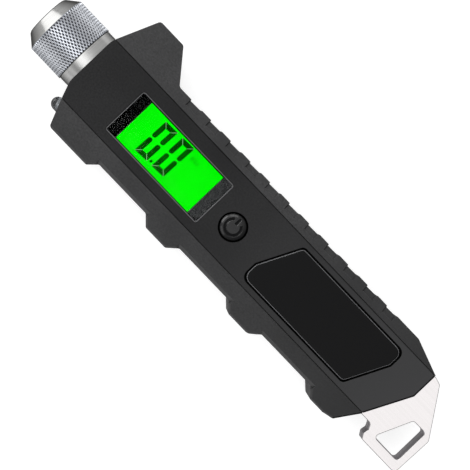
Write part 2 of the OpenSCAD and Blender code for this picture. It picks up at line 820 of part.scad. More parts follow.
// An open spring ring, its gap on the finger side
module retaining_ring() color("#8d8f92") placed() difference() {
    turned([
        [ring_s + ring_clear, ring_groove_r + ring_clear],
        [ring_s + ring_clear, ring_pocket_r - 2 * ring_clear],
        [ring_s + ring_t - ring_clear, ring_pocket_r - 2 * ring_clear],
        [ring_s + ring_t - ring_clear, ring_groove_r + ring_clear]
    ]);
    block([ring_s - cut, -ring_pocket_r - cut, axis_z - ring_gap / 2],
        [ring_s + ring_t + cut, 0, axis_z + ring_gap / 2]);
}

air_way = 0.7;
module valve_seal() color("#26262a") placed() turned([
    [seal_s, pin_r + air_way], [seal_s, spigot_r - seal_clear],
    [spigot_s, spigot_r - seal_clear], [spigot_s, pin_r + air_way]
]);

// A slim pin on a foot with three flats, which let the air past
pin_foot_s = spigot_s + 0.6;
pin_foot_l = 2.4;
pin_foot_r = air_r - screw_fit;
pin_tip_s = seal_s - 0.1;
pin_tip = 0.2;
module depressor_pin() color("#b9bbbe") placed() difference() {
    turned([
        [pin_tip_s, 0], [pin_tip_s, pin_r - pin_tip], [pin_tip_s + pin_tip, pin_r], [pin_foot_s, pin_r],
        [pin_foot_s, pin_foot_r], [pin_foot_s + pin_foot_l, pin_foot_r], [pin_foot_s + pin_foot_l, 0]
    ]);
    for (a = [0, 120, 240])
        translate([0, 0, axis_z]) rotate([a, 0, 0]) translate([pin_foot_s - cut, -air_r, pin_r])
            cube([pin_foot_l + 2 * cut, 2 * air_r, air_r]);
}

// Air tube and sensor
tube_fit = 0.02;
tube_end_gap = 0.2;
tube_s = barb_s + tube_end_gap;
sensor_s = board_s + 6;
sensor_l = 8;
sensor_w = 8;
port_l = 5.5;
sensor_drop = 2.6;
module air_tube() color("#b4b6b4") placed() difference() {
    rod(tube_s, sensor_s - tube_end_gap, barb_r + tube_fit + tube_wall);
    rod(tube_s - cut, sensor_s + cut, barb_r + tube_fit);
}

module pressure_sensor() color("#e4e0d6") placed() difference() {
    union() {
        block([sensor_s, -sensor_w / 2, axis_z - sensor_drop], [sensor_s + sensor_l, sensor_w / 2, board_z]);
        rod(sensor_s - port_l, sensor_s + cut, barb_r);
    }
    rod(sensor_s - port_l - cut, sensor_s + sensor_l / 2, air_r);
}

// Board, with a tab at the head end for the lamp's leads
board_hole_clear = 0.2;
board_tab_l = 3;
board_tab_y = lamp_y - lamp_r;
module main_board() color("#1f6b3a") placed() difference() {
    union() {
        block([board_s, board_low_y, board_z], [board_end, board_high_y, board_top]);
        block([board_s, board_tab_y, board_z], [board_s + board_tab_l, board_low_y + cut, board_top]);
    }
    posts(board_screws_at, board_z - cut, board_top + cut, board_screw_r + board_hole_clear);
}

chip_gap = 5;
chip_s = sensor_s + sensor_l + chip_gap;
module controller_chip() color("#17171a") placed()
    block([chip_s, window_y - chip_w / 2, board_z - chip_t],
        [chip_s + chip_w, window_y + chip_w / 2, board_z]);

// Display: two plates of glass on the backlight, the lower one wider for its contacts
glass_inset = 1.3;
glass_l = window_l - 2 * glass_inset;
strip_w = 1.1;
module lcd_glass() color("#3fe04a") placed() {
    half = glass_half - ledge_w;
    block([view_s - glass_l / 2, window_y - glass_half, glass_z],
        [view_s + glass_l / 2, window_y + glass_half, glass_z + glass_t / 2]);
    block([view_s - glass_l / 2, window_y - half, glass_z + glass_t / 2],
        [view_s + glass_l / 2, window_y + half, glass_z + glass_t]);
}

module backlight_panel() color("#dff5df") placed()
    block([view_s - glass_l / 2, window_y - view_w / 2, board_top],
        [view_s + glass_l / 2, window_y + view_w / 2, glass_z]);

module contact_strips() color("#d87a8e") placed() for (side = [-1, 1])
    let (y = window_y + side * (glass_half - strip_w / 2))
        block([view_s - view_l / 2, y - strip_w / 2, board_top],
            [view_s + view_l / 2, y + strip_w / 2, glass_z]);

// Button and switch
flange_rim = 1;
flange_h = 1;
flange_clear = 0.25;
cap_low = deck_z - flange_clear - flange_h;
cap_edge = 0.5;
stop_clear = 0.3;
switch_w = 6;
switch_top = cap_low - button_travel - stop_clear;
switch_floor = board_top + 0.2;
plunger_r = 1.5;
plunger_clear = 0.1;
module at_button() translate([button_s, button_y, 0]) children();
module button_cap() color("#2b2b2d") placed() at_button() rotate_extrude() polygon([
    [0, cap_low], [button_r + flange_rim, cap_low], [button_r + flange_rim, cap_low + flange_h],
    [button_r, cap_low + flange_h], [button_r, case_d + button_proud - cap_edge],
    [button_r - cap_edge, case_d + button_proud], [0, case_d + button_proud]
]);

module switch_body() color("#9c9ea2") placed() at_button() difference() {
    block([-switch_w / 2, -switch_w / 2, board_top], [switch_w / 2, switch_w / 2, switch_top]);
    posts([[0, 0]], switch_floor, switch_top + cut, plunger_r + plunger_clear);
}

module switch_plunger() color("#1b1b1d") placed() at_button()
    upright(switch_floor + plunger_clear + button_travel, cap_low) circle(r = plunger_r);

// Lamp
nose_steps = 8;
module flashlight_led() color("#dfe6ea") placed() translate([0, lamp_y, 0]) turned(concat(
    [for (i = [0 : nose_steps]) let (a = 90 * i / nose_steps)
        [-lamp_proud + lamp_r * (1 - cos(a)), lamp_r * sin(a)]],
    [[lamp_flange_s, lamp_r], [lamp_flange_s, lamp_flange_r], [lamp_flange_s + lamp_flange_t, lamp_flange_r],
        [lamp_flange_s + lamp_flange_t, 0]]
));

lead_t = 0.5;
lead_half = 1.1;
lead_s = lamp_flange_s + lamp_flange_t;
lead_end = board_s + 1.2;
module led_leads() color("#c0c2c4") placed() for (side = [-1, 1])
    let (y = lamp_y + side * lead_half, low = axis_z - lead_t / 2)
        translate([0, y + lead_t / 2, 0]) rotate([90, 0, 0]) linear_extrude(lead_t) polygon([
            [lead_s, low], [lead_end, low], [lead_end, board_z],
            [lead_end - lead_t, board_z], [lead_end - lead_t, low + lead_t], [lead_s, low + lead_t]
        ]);

// Cells, springs and contacts
nub_r = 1.9;
nub_l = 1.2;
cell_edge = 0.4;
// The thumb-side cell points its nub at the tail, the finger-side one at the head
cell_sides = [1, -1];
module cell() rotate([0, 90, 0]) rotate_extrude() polygon([
    [0, 0], [cell_r - cell_edge, 0], [cell_r, cell_edge], [cell_r, cell_l - nub_l - cell_edge],
    [cell_r - cell_edge, cell_l - nub_l], [nub_r, cell_l - nub_l], [nub_r, cell_l], [0, cell_l]
]);
module at_cell(side) translate([(bay_s + bay_end) / 2, bay_y + side * cell_pitch, cell_z])
    rotate([0, 0, side > 0 ? 0 : 180]) translate([-bay_l / 2, 0, 0]) children();

module battery_cells() color("#6f7276") placed() for (side = cell_sides)
    at_cell(side) translate([bay_l - plate_t - seat - cell_l, 0, 0]) cell();

// A coil spring as one tube swept round the cell's axis
spring_r = 3.2;
spring_l = bay_l - 2 * plate_t - 3 * seat - cell_l;
turn_rings = 12;
wire_sides = 6;
spring_rings = round(spring_turns * turn_rings);
function spring_ring(i) = let (
    a = 360 * i / turn_rings,
    x = spring_wire_r + (spring_l - 2 * spring_wire_r) * i / spring_rings
) [for (k = [0 : wire_sides - 1]) let (b = 360 * k / wire_sides, r = spring_r + spring_wire_r * cos(b))
    [x + spring_wire_r * sin(b), r * cos(a), r * sin(a)]];
function ring_faces(i) = [
    for (k = [0 : wire_sides - 1])
        let (a = i * wire_sides + k, b = i * wire_sides + (k + 1) % wire_sides)
            each [[a, b, b + wire_sides], [a, b + wire_sides, a + wire_sides]]
];
module coil_spring() {
    last = spring_rings * wire_sides;
    polyhedron(
        points = [for (i = [0 : spring_rings], p = spring_ring(i)) p],
        faces = concat(
            [for (k = [1 : wire_sides - 2]) [0, k + 1, k]],
            [for (i = [0 : spring_rings - 1], f = ring_faces(i)) f],
            [for (k = [1 : wire_sides - 2]) [last, last + k, last + k + 1]]
        )
    );
}
module battery_springs() color("#c4c6c8") placed() for (side = cell_sides)
    at_cell(side) translate([plate_t + seat, 0, 0]) coil_spring();

plate_h = 9;
plate_w = 8.4;
module contact_plates() color("#cfcfc8") placed() {
    low = cell_z - plate_h / 2;
    for (side = cell_sides)
        let (y = bay_y + side * cell_pitch) {
            block([bay_s, y - plate_w / 2, low], [bay_s + plate_t, y + plate_w / 2, low + plate_h]);
            block([bay_s, y - tab_w / 2, low], [bay_s + plate_t, y + tab_w / 2, board_z]);
        }
    block([bay_end - plate_t, bay_y - cell_pitch - plate_w / 2, low],
        [bay_end, bay_y + cell_pitch + plate_w / 2, low + plate_h]);
}

// Screws with a cross recess, their heads down
recess_reach = 0.6;
recess_half = 0.25;
recess_depth = 0.6;
module screw(r, head_r, head_t, seat_z, tip_z) difference() {
    reach = recess_reach * head_r;
    half = recess_half * r;
    union() {
        posts([[0, 0]], seat_z - head_t, seat_z, head_r);
        posts([[0, 0]], seat_z - seat, tip_z, r);
    }
    for (a = [0, 90])
        rotate([0, 0, a])
            block([-reach, -half, seat_z - head_t - cut],
                [reach, half, seat_z - (1 - recess_depth) * head_t]);
}

module screws(places, r, head_r, head_t, seat_z, tip_z) for (p = places)
    translate([p[0], p[1], 0]) screw(r, head_r, head_t, seat_z, tip_z);

module case_screws() color("#2c2c2e") placed() {
    screws(head_screws, screw_r, screw_head_r, screw_head_t, head_seat_z, screw_tip_z);
    screws(tail_screws, screw_r, screw_head_r, screw_head_t, tail_seat_z, screw_tip_z);
}

board_screw_head_r = 1.7;
board_screw_head_t = 1.1;
board_screw_tip = deck_z - 0.6;
module board_screws() color("#b5b7ba") placed()
    screws(board_screws_at, board_screw_r, board_screw_head_r, board_screw_head_t, board_z, board_screw_tip);

front_shell();
rear_shell();
front_panel();
display_lens();
inlay_plate();
battery_door();
tail_loop();
chuck_body();
chuck_sleeve();
retaining_ring();
valve_seal();
depressor_pin();
air_tube();
pressure_sensor();
main_board();
controller_chip();
lcd_glass();
backlight_panel();
contact_strips();
button_cap();
switch_body();
switch_plunger();
flashlight_led();
led_leads();
battery_cells();
battery_springs();
contact_plates();
case_screws();
board_screws();
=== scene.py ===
"""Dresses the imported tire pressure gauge: soft moulded edges, knurl, display, button, finishes, studio and camera.

Sizes are in millimetres, times MM to give Blender's metres. X runs from the chuck to the lanyard loop, +Y is the
thumb side and +Z the face.
"""
import math
from contextlib import contextmanager

import bmesh
import bpy
from mathutils import Matrix, Vector
from mathutils.bvhtree import BVHTree


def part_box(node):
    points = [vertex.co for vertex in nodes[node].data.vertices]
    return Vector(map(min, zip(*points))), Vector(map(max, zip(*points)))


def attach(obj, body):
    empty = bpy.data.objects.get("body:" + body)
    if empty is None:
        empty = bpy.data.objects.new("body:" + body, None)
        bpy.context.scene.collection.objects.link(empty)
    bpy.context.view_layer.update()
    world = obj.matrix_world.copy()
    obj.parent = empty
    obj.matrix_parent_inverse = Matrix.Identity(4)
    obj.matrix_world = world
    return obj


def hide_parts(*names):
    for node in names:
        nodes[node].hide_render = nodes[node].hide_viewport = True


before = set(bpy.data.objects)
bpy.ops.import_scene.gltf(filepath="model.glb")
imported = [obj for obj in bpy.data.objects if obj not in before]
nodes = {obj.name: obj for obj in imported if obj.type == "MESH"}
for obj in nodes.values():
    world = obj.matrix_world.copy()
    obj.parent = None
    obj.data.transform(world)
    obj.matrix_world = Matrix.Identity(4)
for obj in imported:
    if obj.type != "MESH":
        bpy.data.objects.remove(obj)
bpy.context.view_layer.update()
sleeve_low, sleeve_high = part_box("chuck_sleeve")
AXIS_Z = (sleeve_low.z + sleeve_high.z) / 2
bpy.ops.object.select_all(action="DESELECT")

MM = 0.001
WELD = 0.002 * MM


# Helpers for modelling

def only(piece):
    """Selects one object and makes it the active one."""
    bpy.ops.object.select_all(action="DESELECT")
    piece.select_set(True)
    bpy.context.view_layer.objects.active = piece


@contextmanager
def editing(piece):
    """Edit mode on one piece."""
    only(piece)
    bpy.ops.object.mode_set(mode="EDIT")
    yield
    bpy.ops.object.mode_set(mode="OBJECT")


def choose(piece, kind, test):
    """In edit mode, selects just the vertices, edges or faces that pass the test."""
    bpy.ops.mesh.select_mode(type=kind)
    bpy.ops.mesh.select_all(action="DESELECT")
    shape = bmesh.from_edit_mesh(piece.data)
    parts = {"VERT": shape.verts, "EDGE": shape.edges, "FACE": shape.faces}[kind]
    for part in parts:
        if test(part):
            part.select_set(True)
    shape.select_flush_mode()
    bmesh.update_edit_mesh(piece.data)


def named(name):
    """Names the active object and its mesh, and bakes its place into the mesh."""
    piece = bpy.context.object
    piece.name = piece.data.name = name
    bpy.ops.object.transform_apply(location=True, rotation=True, scale=True)
    return piece


def slab(name, low, high):
    """A box between two corners, ready to be shaped."""
    low, high = Vector(low), Vector(high)
    bpy.ops.mesh.primitive_cube_add(size=1, location=(low + high) / 2, scale=high - low)
    return named(name)


def joined(name, pieces):
    """Joins pieces into one object."""
    only(pieces[0])
    for piece in pieces[1:]:
        piece.select_set(True)
    if len(pieces) > 1:
        bpy.ops.object.join()
    return named(name)


def applied(piece, kind, **settings):
    """Adds a modifier, sets it and applies it."""
    only(piece)
    bpy.ops.object.modifier_add(type=kind)
    modifier = piece.modifiers[-1]
    for key, value in settings.items():
        setattr(modifier, key, value)
    bpy.ops.object.modifier_apply(modifier=modifier.name)


def smooth(piece, degrees):
    """Smooth shading, with edges that are sharper than the angle kept sharp."""
    only(piece)
    bpy.ops.object.shade_smooth_by_angle(angle=math.radians(degrees))


def shaded(piece, degrees):
    """Smooth shading with sharp edges kept, and flat faces kept flat beside their rounded edges."""
    smooth(piece, degrees)
    applied(piece, "WEIGHTED_NORMAL", keep_sharp=True, weight=80)


def turned(name, axis, centre, stations, sides):
    """A turned piece: a ring drawn out from station to station, each (place along the axis, radius).

    Stations go round a closed profile, or start and end with a closed disc."""
    along = Vector(axis)
    centre = Vector(centre)
    turn = (0, math.pi / 2, 0) if axis[0] else (0, 0, 0)
    place, radius = stations[0]
    bpy.ops.mesh.primitive_circle_add(vertices=sides, radius=radius, location=centre + along * place, rotation=turn)
    piece = named(name)
    closed = stations[0] == stations[-1]
    with editing(piece):
        bpy.ops.mesh.select_all(action="SELECT")
        if not closed:
            bpy.ops.mesh.edge_face_add()
            bpy.ops.mesh.select_all(action="SELECT")
        for (place, radius), (next_place, next_radius) in zip(stations, stations[1:]):
            step = along * (next_place - place)
            bpy.ops.mesh.extrude_edges_move(TRANSFORM_OT_translate={"value": step})
            scale = next_radius / radius
            stretch = (1, scale, scale) if axis[0] else (scale, scale, 1)
            bpy.ops.transform.resize(value=stretch, center_override=centre + along * next_place)
        if not closed:
            bpy.ops.mesh.edge_face_add()
        bpy.ops.mesh.select_all(action="SELECT")
        bpy.ops.mesh.remove_doubles(threshold=WELD)
        bpy.ops.mesh.normals_make_consistent(inside=False)
    return piece


def carried(piece, body, slot, *replaced):
    """Fixes a piece to a body and hides the nodes that it stands for. Its finish slot is not used."""
    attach(piece, body)
    if replaced:
        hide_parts(*replaced)
    return piece


def dressed(piece, material):
    """Gives a piece or a CAD node its finish."""
    piece.data.materials.clear()
    piece.data.materials.append(material)


def edged(piece, material, test):
    """Gives the faces that pass the test a finish of their own."""
    piece.data.materials.append(material)
    only(piece)
    piece.active_material_index = len(piece.data.materials) - 1
    with editing(piece):
        choose(piece, "FACE", test)
        bpy.ops.object.material_slot_assign()


# Helpers for finishes

def colour(code):
    """sRGB hex to a linear colour."""
    parts = [int(code[i:i + 2], 16) / 255 for i in (1, 3, 5)]
    return [p / 12.92 if p <= 0.04045 else ((p + 0.055) / 1.055) ** 2.4 for p in parts] + [1]


def add_node(tree, kind, inputs=None, stops=(), **settings):
    """Adds a node, with settings by name and inputs by socket, each a value or another node's output.

    Stops are the two ends of a colour ramp, each (position, hex)."""
    node = tree.nodes.new(kind)
    for key, value in settings.items():
        setattr(node, key, value)
    for key, value in (inputs or {}).items():
        if isinstance(value, bpy.types.NodeSocket):
            tree.links.new(value, node.inputs[key])
        else:
            node.inputs[key].default_value = value
    for i, (position, code) in enumerate(stops):
        node.color_ramp.elements[i].position = position
        node.color_ramp.elements[i].color = colour(code)
    return node


def finish(name, **sockets):
    """A new material: its tree, its shader and the Object coordinates that its patterns read."""
    material = bpy.data.materials.new(name)
    material.use_nodes = True
    tree = material.node_tree
    shader = tree.nodes["Principled BSDF"]
    for key, value in sockets.items():
        shader.inputs[key.replace("_", " ")].default_value = value
    place = add_node(tree, "ShaderNodeTexCoord").outputs["Object"]
    return material, tree, shader, place


def per(size):
    """Texture scale that gives features of this size in millimetres."""
    return 1 / (size * MM)


# Noise keeps mostly between these, so colours are spread from one to the other
NOISE_LOW, NOISE_HIGH = 0.3, 0.7
CLOUD_SIZE = 24
FLECK_BASE, FLECK_LOW, FLECK_HIGH = 0.12, 0.26, 0.5


def moulded(name, shades, rough, grain, depth, **sockets):
    """Moulded plastic or rubber: a fine grain that breaks the gloss, and a faint cloudiness in its tone and gloss.

    The real grain, about 0.05 mm, is too fine to show in the render, so it is drawn as coarse as it needs to show."""
    material, tree, shader, place = finish(name, **sockets)
    grit = add_node(tree, "ShaderNodeTexNoise", {"Vector": place, "Scale": per(grain), "Detail": 3.0})
    cloud = add_node(tree, "ShaderNodeTexNoise", {"Vector": place, "Scale": per(CLOUD_SIZE), "Detail": 2.0})
    fleck = add_node(tree, "ShaderNodeMath", {0: grit.outputs["Fac"], 1: cloud.outputs["Fac"], 2: FLECK_BASE},
                     operation="MULTIPLY_ADD").outputs[0]
    tone = add_node(tree, "ShaderNodeValToRGB", {"Fac": fleck}, ((FLECK_LOW, shades[0]), (FLECK_HIGH, shades[1])))
    tree.links.new(tone.outputs["Color"], shader.inputs["Base Color"])
    gloss = add_node(tree, "ShaderNodeMapRange", {
        "Value": cloud.outputs["Fac"], "To Min": rough[0], "To Max": rough[1]})
    tree.links.new(gloss.outputs["Result"], shader.inputs["Roughness"])
    bump = add_node(tree, "ShaderNodeBump", {"Height": grit.outputs["Fac"], "Distance": depth * MM})
    tree.links.new(bump.outputs["Normal"], shader.inputs["Normal"])
    return material


MARK_STRETCH, SMEAR_SIZE = 0.02, 9


def machined(name, shades, rough, pitch, depth, run=(1, 0, 0), **sockets):
    """Machined metal: fine tool marks that run across `run`, with a slight change of tone from mark to mark.

    Real marks, about 0.05 mm apart, are too fine to show in the render, so they too are drawn coarser."""
    material, tree, shader, place = finish(name, Metallic=1.0, **sockets)
    stretch = [1 if part else MARK_STRETCH for part in run]
    squeezed = add_node(tree, "ShaderNodeMapping", {"Vector": place, "Scale": stretch})
    marks = add_node(tree, "ShaderNodeTexNoise", {"Vector": squeezed.outputs[0], "Scale": per(pitch), "Detail": 4.0})
    smear = add_node(tree, "ShaderNodeTexNoise", {"Vector": place, "Scale": per(SMEAR_SIZE), "Detail": 2.0})
    tone = add_node(tree, "ShaderNodeValToRGB", {"Fac": marks.outputs["Fac"]},
                    ((NOISE_LOW, shades[0]), (NOISE_HIGH, shades[1])))
    tree.links.new(tone.outputs["Color"], shader.inputs["Base Color"])
    gloss = add_node(tree, "ShaderNodeMapRange", {
        "Value": smear.outputs["Fac"], "To Min": rough[0], "To Max": rough[1]})
    tree.links.new(gloss.outputs["Result"], shader.inputs["Roughness"])
    bump = add_node(tree, "ShaderNodeBump", {"Height": marks.outputs["Fac"], "Distance": depth * MM})
    tree.links.new(bump.outputs["Normal"], shader.inputs["Normal"])
    return material


def toned(material, low, high, shade):
    """Lets a moulded plastic take another shade along X, from low to high in millimetres, for uneven light."""
    tree = material.node_tree
    base = tree.nodes["Principled BSDF"].inputs["Base Color"]
    place = add_node(tree, "ShaderNodeTexCoord").outputs["Object"]
    along = add_node(tree, "ShaderNodeSeparateXYZ", {"Vector": place}).outputs["X"]
    share = add_node(tree, "ShaderNodeMapRange", {"Value": along, "From Min": low * MM, "From Max": high * MM})
    mixed = add_node(tree, "ShaderNodeMix", {
        0: share.outputs["Result"], 6: base.links[0].from_socket, 7: colour(shade)}, data_type="RGBA")
    tree.links.new(mixed.outputs[2], base)


# Mouldings: copies of the CAD solids with the small rounds that a mould or a polishing wheel leaves

SHARP_ANGLE = math.radians(25)
REACH = 80 * MM
PROBE_START = 0.05 * MM
HEAD_X, TAIL_X = -40 * MM, 50 * MM
UPRIGHT = 0.95


def softened(node, name, width, steps=2, degrees=30):
    """A copy of a CAD node with its open outer edges rounded, and shaded smooth up to the angle in degrees."""
    piece = bpy.data.objects.new(name, nodes[node].data.copy())
    piece.data.name = name
    bpy.context.scene.collection.objects.link(piece)
    with editing(piece):
        bpy.ops.mesh.customdata_custom_splitnormals_clear()
        bpy.ops.mesh.select_all(action="SELECT")
        bpy.ops.mesh.remove_doubles(threshold=WELD)
        walls = BVHTree.FromBMesh(bmesh.from_edit_mesh(piece.data))
        choose(piece, "EDGE", lambda edge: is_open(edge, walls))
        bpy.ops.mesh.bevel(offset=width * MM, segments=steps, affect="EDGES", clamp_overlap=False, loop_slide=False)
    shaded(piece, degrees)
    return piece


def is_open(edge, walls):
    """A sharp outer corner that looks out of the piece and away from the middle of the case."""
    if len(edge.link_faces) != 2 or not edge.is_convex or edge.calc_face_angle() < SHARP_ANGLE:
        return False
    middle = (edge.verts[0].co + edge.verts[1].co) / 2
    outwards = (edge.link_faces[0].normal + edge.link_faces[1].normal).normalized()
    if walls.ray_cast(middle + outwards * PROBE_START, outwards, REACH)[0]:
        return False
    core = Vector((min(max(middle.x, HEAD_X), TAIL_X), 0, middle.z))
    return abs(outwards.z) > UPRIGHT or (middle - core).dot(outwards) > 0 or outwards.z * (middle.z - AXIS_Z) > 0


case_front = carried(softened("front_shell", "case_front", 0.18), "case", "case_plastic", "front_shell")
case_back = carried(softened("rear_shell", "case_back", 0.18), "case", "case_plastic", "rear_shell")
face_plate = carried(softened("front_panel", "face_plate", 0.2), "case", "panel_plastic", "front_panel")
grip_inlay = carried(softened("inlay_plate", "grip_inlay", 0.4, 3), "case", "black_inlay", "inlay_plate")
cell_cover = carried(softened("battery_door", "cell_cover", 0.2), "door", "case_plastic", "battery_door")
lanyard_loop = carried(softened("tail_loop", "lanyard_loop", 0.16, degrees=20), "case", "polished_steel", "tail_loop")


# Knurled sleeve

SLEEVE_SIDES = 124
KNURL_ROWS = 13
KNURL_DEPTH, PIT_SHARE, RIDGE_FLAT = 0.5, 50, 0.1
NOSE_LENGTH, NOSE_RADIUS = 3.4, 6.3
SOCKET_RADIUS, SOCKET_DEPTH, SOCKET_LEAD = 4.0, 6.5, 0.6
BORE_RADIUS, POCKET_RADIUS = 5.6, 6.4
POCKET_BACK, POCKET_LENGTH = 2.8, 1.2
EDGE, NOSE_BAND, KNURL_EDGE, REAR_EDGE, CLOSER = 0.25, 0.4, 0.12, 0.03, 0.07
LIP_STEP = 0.03
NEAR = 0.01 * MM
SLEEVE_CREST = (sleeve_high.z - sleeve_low.z) / 2
PIT_LEVEL = SLEEVE_CREST - KNURL_DEPTH * (1 - PIT_SHARE / 100) * MM


def knurled_sleeve():
    """Tapered nose, diamond knurl and the bore with its ring pocket."""
    crest = SLEEVE_CREST
    length = sleeve_high.x - sleeve_low.x + CLOSER * MM
    knurl_from = (NOSE_LENGTH + NOSE_BAND) * MM
    knurl_to = length - (KNURL_EDGE + REAR_EDGE) * MM
    root = crest - KNURL_DEPTH * MM
    pitch = (knurl_to - knurl_from) / (KNURL_ROWS - 1)
    pocket = length - POCKET_BACK * MM
    lip = crest - LIP_STEP * MM
    rows = [(knurl_from + pitch * i, crest) for i in range(KNURL_ROWS)]
    profile = [
        (0, (SOCKET_RADIUS + SOCKET_LEAD) * MM), (0, (NOSE_RADIUS - EDGE) * MM),
        (EDGE * MM, (NOSE_RADIUS + EDGE * 0.6) * MM), (NOSE_LENGTH * MM, lip), *rows,
        (length - REAR_EDGE * MM, lip), (length, lip - REAR_EDGE * MM),
        (length, BORE_RADIUS * MM), (pocket + POCKET_LENGTH * MM, BORE_RADIUS * MM),
        (pocket + POCKET_LENGTH * MM, POCKET_RADIUS * MM), (pocket, POCKET_RADIUS * MM), (pocket, BORE_RADIUS * MM),
        (SOCKET_DEPTH * MM, BORE_RADIUS * MM), (SOCKET_DEPTH * MM, SOCKET_RADIUS * MM),
        (SOCKET_LEAD * MM, SOCKET_RADIUS * MM), (0, (SOCKET_RADIUS + SOCKET_LEAD) * MM),
    ]
    sleeve = turned("knurled_sleeve", (1, 0, 0), (sleeve_low.x, 0, AXIS_Z), profile, SLEEVE_SIDES)

    def out(vertex):
        return math.hypot(vertex.co.y, vertex.co.z - AXIS_Z)

    def on_crest(vertex):
        return out(vertex) > crest - NEAR

    def is_valley(vertex):
        turn = math.atan2(vertex.co.y, vertex.co.z - AXIS_Z) / math.tau * SLEEVE_SIDES
        row = (vertex.co.x - sleeve_low.x - knurl_from) / pitch
        return on_crest(vertex) and (round(turn) + round(row)) % 2 == 1

    def in_valley(vertex):
        in_rows = knurl_from - WELD < vertex.co.x - sleeve_low.x < knurl_to + WELD
        return in_rows and abs(out(vertex) - root) < NEAR

    with editing(sleeve):
        choose(sleeve, "VERT", is_valley)
        scale = root / crest
        bpy.ops.transform.resize(value=(1, scale, scale), center_override=(0, 0, AXIS_Z))
        choose(sleeve, "FACE", lambda face: any(on_crest(vertex) for vertex in face.verts))
        bpy.ops.mesh.quads_convert_to_tris(quad_method="LONGEST_DIAGONAL")
        choose(sleeve, "VERT", in_valley)
        bpy.ops.mesh.bevel(offset_type="PERCENT", offset_pct=PIT_SHARE, affect="VERTICES")
        choose(sleeve, "EDGE", lambda edge: all(on_crest(vertex) for vertex in edge.verts))
        bpy.ops.mesh.bevel(offset=RIDGE_FLAT * MM, affect="EDGES", clamp_overlap=True)
    smooth(sleeve, 12)
    return sleeve


sleeve = carried(knurled_sleeve(), "chuck", "turned_aluminium", "chuck_sleeve")


# Power button

cap_low, cap_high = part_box("button_cap")
CAP_X, CAP_Y = (cap_low.x + cap_high.x) / 2, (cap_low.y + cap_high.y) / 2
CAP_RADIUS, CAP_CREST, CAP_RISE, FLANGE_HEIGHT = 3.5, 2.66, 0.25, 1.0
SKIRT_DROP, FOOT_DROP, RIM_DROP, DOME_DROP = 0.78, 0.68, 0.15, 0.08
FOOT_ROUND, RIM_ROUND = 0.06, 0.08
# The low dome, each (depth below the crown, share of the crest's radius)
DOME = ((0.04, 0.7), (0.01, 0.4), (0, 0.12))
SIGN_RADIUS, SIGN_OPENING = 2.15, math.radians(70)
GROOVE_HALF, GROOVE_DEPTH = 0.52, 0.5
BAR_FROM, BAR_TO = 0.9, 2.9


def groove_cutter(name, place, turn):
    """The cross-section of a cutter for a V-shaped groove."""
    bpy.ops.mesh.primitive_circle_add(
        vertices=4, radius=GROOVE_HALF * MM, fill_type="NGON", location=place, rotation=turn)
    piece = named(name)
    with editing(piece):
        bpy.ops.mesh.select_all(action="SELECT")
        bpy.ops.transform.resize(value=(1, 1, GROOVE_DEPTH / GROOVE_HALF), center_override=place)
    return piece


def power_button():
    """Round cap with a sloping shoulder and a low dome, with the power sign sunk into it."""
    top = cap_high.z + CAP_RISE * MM
    flange_top = cap_low.z + FLANGE_HEIGHT * MM
    flange = (cap_high.x - cap_low.x) / 2
    profile = [
        (cap_low.z, flange), (flange_top, flange), (flange_top, CAP_RADIUS * MM),
        (top - SKIRT_DROP * MM, CAP_RADIUS * MM), (top - FOOT_DROP * MM, (CAP_RADIUS - FOOT_ROUND) * MM),
        (top - RIM_DROP * MM, (CAP_CREST + RIM_ROUND) * MM),
        (top - DOME_DROP * MM, (CAP_CREST - RIM_ROUND) * MM),
        *((top - drop * MM, share * CAP_CREST * MM) for drop, share in DOME),
    ]
    cap = turned("power_button", (0, 0, 1), (CAP_X, CAP_Y, 0), profile, 64)

    middle = Vector((CAP_X, CAP_Y, top))
    arc = groove_cutter("power_arc", middle + Vector((0, SIGN_RADIUS * MM, 0)), (0, math.pi / 2, 0))
    with editing(arc):
        bpy.ops.mesh.select_all(action="SELECT")
        bpy.ops.transform.rotate(value=SIGN_OPENING / 2, orient_axis="Z", center_override=middle)
        bpy.ops.mesh.spin(steps=40, angle=math.tau - SIGN_OPENING, center=middle, axis=(0, 0, 1))
        bpy.ops.mesh.select_all(action="SELECT")
        bpy.ops.mesh.remove_doubles(threshold=WELD)
        bpy.ops.mesh.normals_make_consistent(inside=False)
    stroke = groove_cutter("power_bar", middle + Vector((0, BAR_FROM * MM, 0)), (math.pi / 2, 0, 0))
    with editing(stroke):
        bpy.ops.mesh.select_all(action="SELECT")
        bpy.ops.mesh.extrude_region_move(TRANSFORM_OT_translate={"value": (0, (BAR_TO - BAR_FROM) * MM, 0)})
        bpy.ops.mesh.select_all(action="SELECT")
        bpy.ops.mesh.normals_make_consistent(inside=False)
    for cutter in (arc, stroke):
        applied(cap, "BOOLEAN", object=cutter, operation="DIFFERENCE", solver="EXACT")
        bpy.data.objects.remove(cutter)
    smooth(cap, 40)
    return cap


button = carried(power_button(), "button", "button_rubber", "button_cap")


# Display: window with its printed border, and the liquid-crystal digits

lens_low, lens_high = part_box("display_lens")
glass_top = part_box("lcd_glass")[1].z
VIEW_LOW = Vector((-40.1, -8.87, 0)) * MM
VIEW_HIGH = Vector((-13.37, 3.98, 0)) * MM
PRINT, PRINT_ROOM, PRINT_SUNK, PRINT_ROUND = 0.03, 1.5, 0.4, 0.3
INK = 0.02
BEAD, BEAD_LAP, BEAD_CORNER, BEAD_HEIGHT, BEAD_ROUND = 0.24, 0.16, 0.6, 0.12, 0.05
DIGIT_LEFT = (-34.18, -28.22)
DIGIT_LOW, DIGIT_HIGH, DIGIT_WIDTH = -7.36, 3.56, 4.22
STROKE, STROKE_GAP, WAIST_GAP = 1.35, 0.1, 0.5
FREE_ROUND, POINT_ROUND = 0.45, 0.25
MITRE_LENGTH, MITRE_WIDTH, MITRE_HEIGHT, MITRE_ROUND = STROKE * 1.35, STROKE_GAP * 1.2, INK * 1.1, 0.004
LEAN, RISE = math.tan(math.radians(2)), math.tan(math.radians(2.6))
